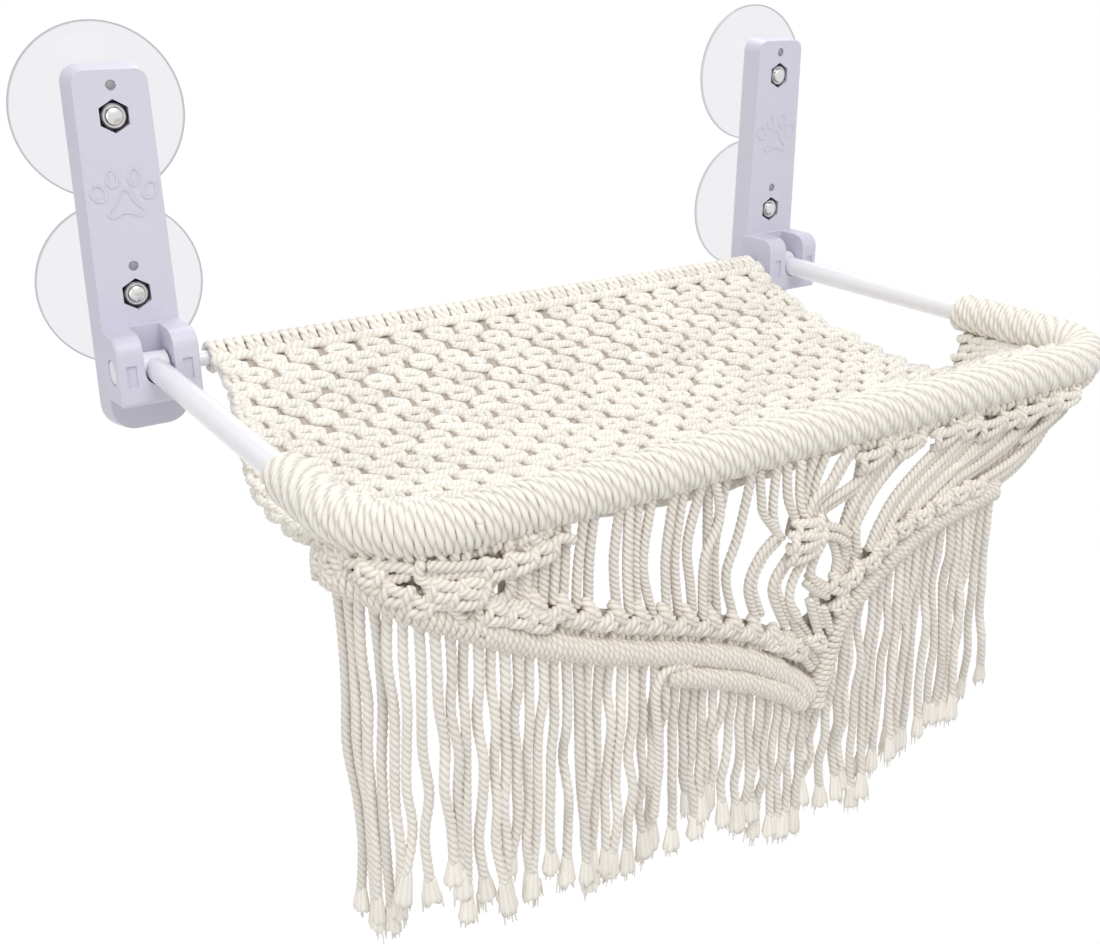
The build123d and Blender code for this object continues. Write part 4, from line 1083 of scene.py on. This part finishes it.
# On the right, from the knots under the bar down to the row along the hem
RIGHT_CORDS = [
    (3, 2, [(55, -85), (45, -92), (33.3, -102.8), (24.9, -114), (19.3, -125.9), (22.8, -139.7)]),
    (2, 0, [(27, -85), (26, -102), (23, -113), (19.5, -124)]),
    (2, 1, [(70, -85), (61, -91), (48, -98.5), (35.6, -108.5), (27.5, -119)]),
    (3, 2, [(99, -85), (90, -91), (77.2, -99.7), (61.4, -109.8), (49.6, -119.2), (41.8, -130.2), (37, -141)]),
    (3, 1, [(106, -95), (93.8, -103.2), (79.4, -112.4), (66.9, -119.7), (52.7, -129)]),
    (3, 1, [(127, -98), (110, -107), (95, -113), (80, -118.5), (64, -130)]),
    (2, 1.5, [(143, -97), (127, -107), (107, -114.5), (89, -120), (76, -130)]),
    (2, 1, [(159, -95), (148, -108.5), (134, -118), (116, -123), (92, -129)]),
    (2, 0, [(171, -91), (169, -98), (157, -104.5), (150, -112), (139, -120.5), (127, -125.5), (113, -128)]),
    (2, -0.5, [(150, -93), (138, -101), (122, -110), (104, -118), (90, -127)]),
    (1, 2.5, [(166, -93), (155, -100), (145, -104), (134, -107)])]

# Square knots: along, height, half width, tilt in degrees, how far in front
CORNER_KNOTS = [
    (-187, -100.5, 5, -20, 3), (-200, -97.8, 5, -12, 4.5), (-209, -91.5, 5, -16, 3),
    (-193, -103, 5, -22, 3.5), (-184, -97, 6, -8, 4), (-177, -101.5, 6.5, -14, 4.5),
    (-224, -92, 5.5, -40, 1.5), (-232, -94, 5, -70, 1), (-226, -99, 5, -20, 1.5)]
OTHER_KNOTS = [
    (-174, -98.5, 5.5, -8, 3.5), (-164.5, -93.3, 6.5, -4, 3.5), (-154, -94, 6.5, 2, 3),
    (-165, -112.5, 6, -22, 3), (-155, -116.5, 6, -24, 3), (-146, -121.5, 6, -26, 3), (-144, -93, 6, 4, 2.5),
    (-10, -115.5, 8, 2, 5), (-10.5, -121.2, 10, -2, 6), (-11, -127.2, 9, 0, 5), (14, -151.5, 6.5, -30, 3),
    (-20, -171, 6, -28, 2), (-8, -179, 6, -36, 2), (5, -178, 5.5, -55, 2), (17, -161, 5.5, 52, 2),
    (29, -92.5, 9, 14, 3), (52, -92, 9, 14, 2.5), (77, -91.8, 9, 12, 3), (93, -92, 7, 12, 2),
    (108.6, -93.9, 9, 12, 3), (123, -93, 7, 10, 2), (137.6, -92.6, 9, 10, 3), (151, -91.5, 7, 6, 2),
    (164.5, -90.8, 8.5, 2, 3), (24.5, -149, 5.5, 50, 2.5), (35.4, -144.5, 5.5, 45, 2.5),
    (44.5, -138, 5.5, 40, 2.5), (55.4, -132.7, 5.5, 30, 2.5), (67.6, -130.1, 5.5, 22, 2.5),
    (80.5, -126.9, 5.5, 18, 2.5), (92, -124.3, 5.5, 14, 2.5), (104, -124.5, 5.5, 8, 2)]

# Close cloth behind the knots, in darkened cotton as painted shade: its upper and its lower edge
CORNER_CLOTH = [
    ([(-236, -87), (-200, -86), (-167, -86)],
     [(-236, -99), (-214.7, -99), (-200.5, -104), (-186, -110), (-167, -120)])]
SKIRT_CLOTH = [
    ([(-168, -86), (-160, -86)], [(-168, -97), (-160, -97)]),
    ([(-168, -107), (-160, -107)], [(-168, -119), (-160, -124)]),
    ([(-161, -87), (-143, -87)], [(-161, -123), (-143, -132)]),
    ([(-143, -114), (-135, -119), (-116, -127), (-95, -134), (-74, -141), (-52, -149), (-27, -161),
      (-8, -173)],
     [(-143, -132), (-135, -136), (-116, -144), (-95, -151), (-74, -158), (-52, -167), (-27, -179),
      (-8, -193)]),
    ([(-4, -166), (2, -164), (10, -157)], [(-6, -192), (2, -200), (13, -190)]),
    ([(10, -154), (24, -144), (35, -140), (44, -134), (55, -128), (68, -126), (81, -122), (100, -119),
      (120, -125)],
     [(10, -196), (22, -169), (30, -162), (38, -157), (47, -150), (58, -145), (70, -140), (95, -134),
      (120, -130)]),
    ([(-14, -112), (0, -110), (12, -123)], [(-16, -121), (-4, -128), (13, -129)]),
    ([(90, -92), (120, -89), (168, -90)], [(60, -130), (90, -124), (118, -126)])]


def route(table, step):
    """A line of the skirt from its table in millimetres, as evenly spaced points."""
    return smooth(np.array(table) * MM, step)


def skirt_line(table, step):
    """A line's distance along the frame, its places and the direction that faces the room."""
    points = route(table, step)
    return points[:, 0], skirt_place(points), skirt_front(points[:, 0])


def line_height(table, along):
    """The height of a line of the skirt at a distance along the frame, in metres."""
    line = route(table, 1 * MM)
    line = line[np.argsort(line[:, 0])]
    return np.interp(along, line[:, 0], line[:, 1])


def bundles(skein, cord, tables, rng):
    """Cords that lie side by side: each is the route moved square to itself in the skirt."""
    for count, front, table in tables:
        line = route(table, cord.step)
        heading = unit(np.gradient(line, axis=0))
        aside = np.stack([-heading[:, 1], heading[:, 0]], -1)
        out = skirt_front(line[:, 0])
        for i in range(count):
            place = (i - (count - 1) / 2) * cord.diameter * 0.86
            lift = front * MM - 1.4 * MM * (i % 2)
            moved = np.concatenate([line + aside * place, np.full((len(line), 1), lift)], 1)
            strands(skein, skirt_place(moved), out, cord.diameter / 2 * rng.uniform(0.94, 1.03), cord,
                    tone=rng.uniform(0, 0.9), lay=cord.lay * rng.uniform(0.95, 1.15))


def half_knots(skein, cord, places, half, tilts, radius, rise=1.6 * MM, tone=0.5):
    """Short arched bars of cord laid on the skirt at (along, height, front) with their tilts."""
    places, tilts = np.asarray(places, float), np.asarray(tilts, float)
    share = np.linspace(-1, 1, 17)
    half = np.broadcast_to(half, len(places))[:, None]
    along = places[:, :1] + share * half * np.cos(tilts)[:, None]
    height = places[:, 1:2] + share * half * np.sin(tilts)[:, None]
    front = places[:, 2:3] + rise * (1 - 1.6 * share ** 2)
    paths = skirt_place(np.stack([along, height, front], -1))
    strands(skein, paths, skirt_front(along), radius, cord, sides=12, tone=tone)


def square_knots(skein, cord, table, rng):
    """Each knot is two arched bars over its fillers and a loop at each side."""
    radius = cord.diameter / 2
    for along, height, half, tilt, front in table:
        turn, tone = math.radians(tilt), rng.uniform(0.3, 1.0)
        for up in (-2.1, 2.1):
            place = ((along - up * math.sin(turn)) * MM, (height + up * math.cos(turn)) * MM, front * MM)
            half_knots(skein, cord, [place], half * MM, [turn - 0.09 * up], radius * rng.uniform(0.94, 1.08),
                       1.9 * MM, tone)
        for side in (-1, 1):
            place = ((along + side * (half - 1.6) * math.cos(turn)) * MM,
                     (height + side * (half - 1.6) * math.sin(turn)) * MM, (front + 0.6) * MM)
            half_knots(skein, cord, [place], 3.6 * MM, [turn + 1.35], radius * 0.85, 1.4 * MM, tone)


def cloth(name, zones):
    """Closed sheets ruled between an upper and a lower edge, a little behind the cords."""
    skein = Skein()
    for upper, lower in zones:
        share = np.linspace(0, 1, 9)[:, None, None]
        edges = [route(edge, 2 * MM) for edge in (upper, lower)]
        even = np.linspace(0, 1, max(len(edge) for edge in edges))
        high, low = [np.stack([np.interp(even, np.linspace(0, 1, len(edge)), edge[:, k]) for k in (0, 1)], -1)
                     for edge in edges]
        flat = high * (1 - share) + low * share
        along, height = flat[..., 0], flat[..., 1]
        rim = np.minimum(1, 5 * np.minimum(share, 1 - share) + 0.3)[..., 0]
        faces = [skirt_place(np.stack([along, height, -1.6 * MM + side * 1.1 * MM * rim + 0 * along], -1))
                 for side in (1, -1)]
        slab(skein, *faces, np.stack([along / (4 * MM), height / (5 * MM)], -1))
    return skein.piece(name)


# The skirt's two sheets, which start with their cloth: their pieces, zones and flat sizes, and the plane
# that they flatten towards as the frame folds, with the share of their depth that they keep
FRINGE_WORDS = ("left", "middle", "right")
FRONT_SHEET = (["valance_web", "valance_cords", "valance_knotting", "hem_hitches_left", "hem_hitches_right",
                "lower_hem_hitches", *(f"fringe_cords_{word}" for word in FRINGE_WORDS),
                *(f"fringe_tufts_{word}" for word in FRINGE_WORDS)],
               SKIRT_CLOTH, (338 * MM, 75 * MM), -350 * MM, 0.8)
CORNER_SHEET = (["corner_web", "corner_knotting", "hem_hitches_corner", "fringe_cords_corner",
                 "fringe_tufts_corner"], CORNER_CLOTH, (69 * MM, 32 * MM), -306 * MM, 0.12)


def hang_skirt():
    """Gives every piece of the skirt's two sheets a mesh of its own.
    """
    for names, zones, flat, plane, keep in (FRONT_SHEET, CORNER_SHEET):
        pieces = [bpy.data.objects[name] for name in names]
        for piece in pieces:
            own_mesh(piece)


class PERCH_OT_valance(bpy.types.Operator):
    """The open knotted panel between the front bar and the hem"""
    bl_idname = "perch.valance"
    bl_label = "Valance"

    def execute(self, context):
        cord, skirt = context.scene.perch_cord, context.scene.perch_skirt
        colours = context.scene.perch_colours
        rng = np.random.default_rng(skirt.seed)
        corner, front, knots = Skein(), Skein(), Skein()
        bundles(front, cord, LEFT_CORDS + BESIDE_CORNER_CORDS + CENTRE_CORDS + RIGHT_CORDS, rng)
        bundles(corner, cord, CORNER_CORDS, rng)
        square_knots(knots, cord, OTHER_KNOTS, rng)
        square_knots(corner, cord, CORNER_KNOTS, rng)
        for skein, first, last in ((knots, -172, -138), (knots, 16, 172), (corner, -236, -172),
                                   (corner, 172, 199)):
            self.bar_loops(skein, cord, first, last, rng)
        self.chevrons(knots, cord, rng)
        cotton = cotton_material("skirt_cotton", colours)
        for name, skein in (("valance_cords", front), ("valance_knotting", knots),
                            ("corner_knotting", corner)):
            finish_piece(skein.piece(name), cotton, "cotton_knots", "skirt")
        # Painted shade: the cloth behind the cords is darkened cotton
        behind = cotton_material("shaded_skirt_web_cotton", colours)
        finish_piece(cloth("valance_web", SKIRT_CLOTH), behind, "cotton_knots", "skirt", "valance")
        finish_piece(cloth("corner_web", CORNER_CLOTH), behind, "cotton_knots", "skirt")
        return {"FINISHED"}

    def bar_loops(self, skein, cord, first, last, rng):
        """A strand under the bar and the short loops on it that the skirt's cords hang from."""
        radius = cord.diameter / 2
        along = np.linspace(first, last, max(int((last - first) / 9), 3))
        table = np.stack([along, -87.2 + 0.5 * np.sin(along / 9), np.full_like(along, -0.8)], -1)
        along, paths, out = skirt_line(table, cord.step)
        strands(skein, paths, out, radius, cord)
        count = int((last - first) / 5.2)
        along = first + (last - first) * (np.arange(count) + 0.5) / count + rng.normal(0, 0.5, count)
        places = np.stack([along, -85.6 + rng.normal(0, 0.7, count), np.full(count, 0.2)], -1) * MM
        half_knots(skein, cord, places, 3.4 * MM, 1.35 + rng.normal(0, 0.3, count), radius * 0.9, 1.6 * MM,
                   rng.uniform(0.1, 0.9, count))

    def chevrons(self, skein, cord, rng):
        """A row of half knots above the left hem: a steep bulb and a slanted bar, over short stubs."""
        radius = cord.diameter / 2
        first, last = -150, -12
        count = int((last - first) / 12)
        along = (first + (np.arange(count) + 0.5) * (last - first) / count + rng.normal(0, 0.4, count)) * MM
        hem = line_height(HEM_LEFT, along)
        slope = np.arctan2(line_height(HEM_LEFT, along + MM) - hem, MM)
        tone = rng.uniform(0.3, 1.0, count)
        for shift, up, tilt, half, size in ((-4, 19.5, -0.95, 4.4, 1.12), (-1.6, 17.5, -0.75, 4.6, 1.08),
                                            (2.6, 13.2, 0.62, 6.2, 1.1), (5.6, 10.6, 0.55, 4.6, 1.0)):
            places = np.stack([along + shift * MM, hem + up * MM, np.full(count, 1.4 * MM)], -1)
            half_knots(skein, cord, places, half * MM, slope + tilt, radius * size, 2.0 * MM, tone)
        for shift in (-4.2, 0, 4.2):
            places = np.stack([along + shift * MM, hem + 7.8 * MM, np.full(count, -0.8 * MM)], -1)
            half_knots(skein, cord, places, 4.0 * MM, slope + 1.5, radius * 0.9, 1.0 * MM, tone * 0.4)


class PERCH_OT_hem(bpy.types.Operator):
    """The hem's knotted rolls"""
    bl_idname = "perch.hem"
    bl_label = "Hem rolls"

    def execute(self, context):
        cord, skirt = context.scene.perch_cord, context.scene.perch_skirt
        cotton = cotton_material("skirt_cotton", context.scene.perch_colours)
        corner = Skein()
        for name, table, radius in (("hem_roll_left", HEM_LEFT, skirt.roll_radius),
                                    ("hem_roll_right", HEM_RIGHT, skirt.roll_radius * 0.92),
                                    ("lower_hem_roll", HEM_LOWER, skirt.lower_radius)):
            skein = Skein()
            self.hitch(corner, skein, cord, skirt, table, radius)
            piece = skein.piece(name.replace("hem_roll", "hem_hitches"))
            finish_piece(piece, cotton, "cotton_knots", "skirt", name)
        finish_piece(corner.piece("hem_hitches_corner"), cotton, "cotton_knots", "skirt")
        return {"FINISHED"}

    def hitch(self, corner, front, cord, skirt, table, radius):
        """Cord hitched round a core: line + R (cos v out + sin v side), v growing by a turn a pitch.

        What lies left of CORNER_END goes to the corner's piece.
        """
        reached, core, out = skirt_line(table, 0.15 * MM)
        core_step = 12
        along = unit(np.gradient(core, axis=0))
        side = unit(np.cross(along, out))
        run = np.linspace(0, 1, len(core)) * np.linalg.norm(np.diff(core, axis=0), axis=1).sum()
        wound = cord.diameter / 2 * 0.68
        turn = run / skirt.hitch_pitch + 0.16 * waves(run, (23 * MM, 41 * MM), (0.3, 1.7))
        angle = 2 * np.pi * turn
        reach = (radius - wound * 0.9) * (1 + 0.07 * waves(run, (11 * MM, 31 * MM), (0.9, 0.1)))
        radial = np.cos(angle)[:, None] * out + np.sin(angle)[:, None] * side
        lean = along * (0.6 * MM * np.cos(angle))[:, None]
        helix = core + radial * reach[:, None] + lean
        length = np.r_[0, np.cumsum(np.linalg.norm(np.diff(helix, axis=0), axis=1))]
        s = np.linspace(0, length[-1], int(length[-1] / (1.3 * cord.step)))
        helix, radial, at = [np.stack([np.interp(s, length, row) for row in rows.T], -1)
                             for rows in (helix, radial, reached[:, None])]
        core, out, reached = core[::core_step], out[::core_step], reached[::core_step]
        for skein, wanted, kept in ((corner, at[:, 0] < CORNER_END, reached < CORNER_END),
                                    (front, at[:, 0] >= CORNER_END, reached >= CORNER_END)):
            if wanted.any():
                strands(skein, core[kept], out[kept], radius * 0.7, cord, sides=8, twisted=False, tone=0.2)
                strands(skein, helix[wanted], radial[wanted], wound, cord, sides=8, twisted=False)


# The fringe in millimetres: its first and last cord along the frame, then its ends along and in height
FRINGE_START, FRINGE_END = -230, 122
FRINGE_ENDS = [
    (-230, -252), (-222, -262), (-212, -262), (-206, -252), (-200, -236), (-190, -236), (-178, -248),
    (-165, -252), (-145, -253), (-128, -257), (-114, -262), (-92, -266), (-80, -258), (-66, -257),
    (-50, -258), (-36, -262), (-24, -276), (-12, -288), (0, -280), (10, -272), (24, -279), (38, -281),
    (52, -272), (66, -266), (82, -263), (97, -260), (112, -254), (124, -246)]


class PERCH_OT_fringe(bpy.types.Operator):
    """The hanging cords with their brushed ends"""
    bl_idname = "perch.fringe"
    bl_label = "Fringe"

    def execute(self, context):
        cord, skirt = context.scene.perch_cord, context.scene.perch_skirt
        colours = context.scene.perch_colours
        rng = np.random.default_rng(skirt.seed)
        cotton = cotton_material("fringe_cotton", colours)
        brushed = cotton_material("brushed_cotton", colours)
        first, last = FRINGE_START * MM, FRINGE_END * MM
        bounds = first + (last - first) * np.arange(4) / 3
        corner_cords, corner_tufts = Skein(), Skein()
        for number, word in enumerate(FRINGE_WORDS):
            skein, tufts = Skein(), Skein()
            low, high = bounds[number], bounds[number + 1]
            count = round((high - low) / skirt.fringe_pitch)
            for i in range(count):
                along = low + (high - low) * (i + 0.5) / count
                path, out = self.hang(cord, skirt, along, rng)
                cords, ends = (corner_cords, corner_tufts) if along < CORNER_END else (skein, tufts)
                strands(cords, path, out, cord.diameter / 2 * rng.uniform(0.93, 1.04), cord,
                        tone=rng.uniform(0, 0.9), lay=cord.fringe_lay * rng.uniform(0.92, 1.1))
                self.tuft(ends, cord, skirt, path[-1], path[-1] - path[-6], out[-1], rng)
            piece = skein.piece(f"fringe_cords_{word}")
            finish_piece(piece, cotton, "cotton_cord", "skirt", f"fringe_{word}")
            finish_piece(tufts.piece(f"fringe_tufts_{word}"), brushed, "cotton_cord", "skirt")
        finish_piece(corner_cords.piece("fringe_cords_corner"), cotton, "cotton_cord", "skirt")
        finish_piece(corner_tufts.piece("fringe_tufts_corner"), brushed, "cotton_cord", "skirt")
        return {"FINISHED"}

    def hang(self, cord, skirt, along, rng):
        """A gently waving line from under the hem to the cord's end."""
        lower = HEM_LOWER[0][0] * MM < along < HEM_LOWER[-1][0] * MM
        table = HEM_LOWER if lower else HEM_LEFT if along < 4 * MM else HEM_RIGHT
        top = line_height(table, along) - (skirt.lower_radius if lower else skirt.roll_radius) * 0.5
        ends = np.array(FRINGE_ENDS) * MM
        end = np.interp(along, ends[:, 0], ends[:, 1]) + rng.normal(0, 4 * MM) + skirt.tuft
        share = np.linspace(0, 1, 7)
        height = top + (end - top) * share
        splay = 12 * MM * max(along / (FRINGE_END * MM), 0) ** 2
        drift = 5.5 * MM * waves(along, (19 * MM, 31 * MM, 53 * MM), (0.4, 2.2, 4.0)) * share ** 1.4
        sway = waves(height, (34 * MM, 61 * MM), rng.uniform(0, 6, 2)) * 1.6 * MM * share ** 0.5
        depth = rng.normal(0, 1.2 * MM) * share + rng.normal(0, 0.9 * MM, 7) * (share > 0)
        points = np.stack([along + drift + sway + splay * share ** 1.3, height, depth], -1)
        line = smooth(points, cord.step)
        return skirt_place(line), skirt_front(line[:, 0])

    def tuft(self, skein, cord, skirt, end, heading, out, rng):
        """A cord's brushed end, like a flat brush, and a few loose wisps below it.

        A point at angle v and share t down the brush is line + r (cos v side + 0.6 sin v out),
        r = R (1 + w t^0.8) with fine ridges round it; the last ring's points stand at uneven depths.
        """
        sides, rings = 20, 8
        share, turn = np.linspace(0, 1, rings)[:, None], circle(sides)
        down = unit(unit(heading) * 0.75 + np.array([0, 0, -0.25]))
        side = unit(np.cross(out, down))
        wide = rng.uniform(0.7, 1.25)
        ridges = 1 + (0.05 * np.cos(7 * turn + rng.uniform(0, 6)) + 0.05 * rng.normal(0, 1, sides))
        reach = cord.diameter / 2 * (1.02 + wide * share ** 0.8) * (1 + (ridges - 1) * share)
        reach[-1] *= 0.82
        long = skirt.tuft * rng.uniform(0.8, 1.1)
        depth = long * share + rng.uniform(-2.2 * MM, 1.0 * MM, sides) * share ** 4 - 1 * MM
        section = np.cos(turn)[:, None] * side + 0.6 * np.sin(turn)[:, None] * out
        ring = end + depth[..., None] * down + reach[..., None] * section
        poles = np.stack([end - down * MM, end + down * long * 0.93])
        grid = np.stack(np.broadcast_arrays(9 * np.arange(sides + 1) / sides, 0.6 * share), -1)
        sleeve(skein, ring[None], poles[None], grid[None], rng.uniform(0.4, 1.0))
        wisps = 6
        start = rng.uniform(-1, 1, (wisps, 1)) * cord.diameter * 0.5 * (1 + wide * 0.7)
        share = np.linspace(0, 1, 5)
        aside = (start * (1 + 0.25 * share))[..., None]
        lift = rng.normal(0, 0.7 * MM, (wisps, 1, 1))
        fall = (long * (0.55 + rng.uniform(0.45, 0.75, (wisps, 1)) * share))[..., None]
        paths = end + side * aside + out * lift + down * fall
        strands(skein, paths, out, 0.75 * MM * (1 - 0.7 * share), cord, sides=4, twisted=False,
                tone=rng.uniform(0.4, 1.0, wisps))


class PERCH_PT_panel(bpy.types.Panel):
    """Sizes and colours of the perch, and a button for each group of pieces"""
    bl_idname = "PERCH_PT_panel"
    bl_label = "Window cat perch"
    bl_space_type = "VIEW_3D"
    bl_region_type = "UI"
    bl_category = "Perch"

    def draw(self, context):
        scene = context.scene
        for group in (scene.perch_cord, scene.perch_seat, scene.perch_skirt, scene.perch_colours):
            box = self.layout.box()
            for name in group.__annotations__:
                box.prop(group, name)
        for operator in OPERATORS:
            self.layout.operator(operator.bl_idname)


GROUPS = {"perch_cord": PerchCord, "perch_seat": PerchSeat, "perch_skirt": PerchSkirt,
          "perch_colours": PerchColours}
OPERATORS = (PERCH_OT_stage, PERCH_OT_hardware, PERCH_OT_windings, PERCH_OT_header, PERCH_OT_seat,
             PERCH_OT_valance, PERCH_OT_hem, PERCH_OT_fringe)


def register():
    for item in (*GROUPS.values(), *OPERATORS, PERCH_PT_panel):
        bpy.utils.register_class(item)
    for name, group in GROUPS.items():
        setattr(bpy.types.Scene, name, PointerProperty(type=group))


def unregister():
    for name in GROUPS:
        delattr(bpy.types.Scene, name)
    for item in (PERCH_PT_panel, *OPERATORS[::-1], *GROUPS.values()):
        bpy.utils.unregister_class(item)


def main():
    """Builds every piece in order."""
    register()
    bpy.ops.perch.stage()
    bpy.ops.perch.hardware()
    bpy.ops.perch.windings()
    bpy.ops.perch.header()
    bpy.ops.perch.seat()
    bpy.ops.perch.valance()
    bpy.ops.perch.hem()
    bpy.ops.perch.fringe()
    hang_skirt()


if __name__ == "__main__":
    main()
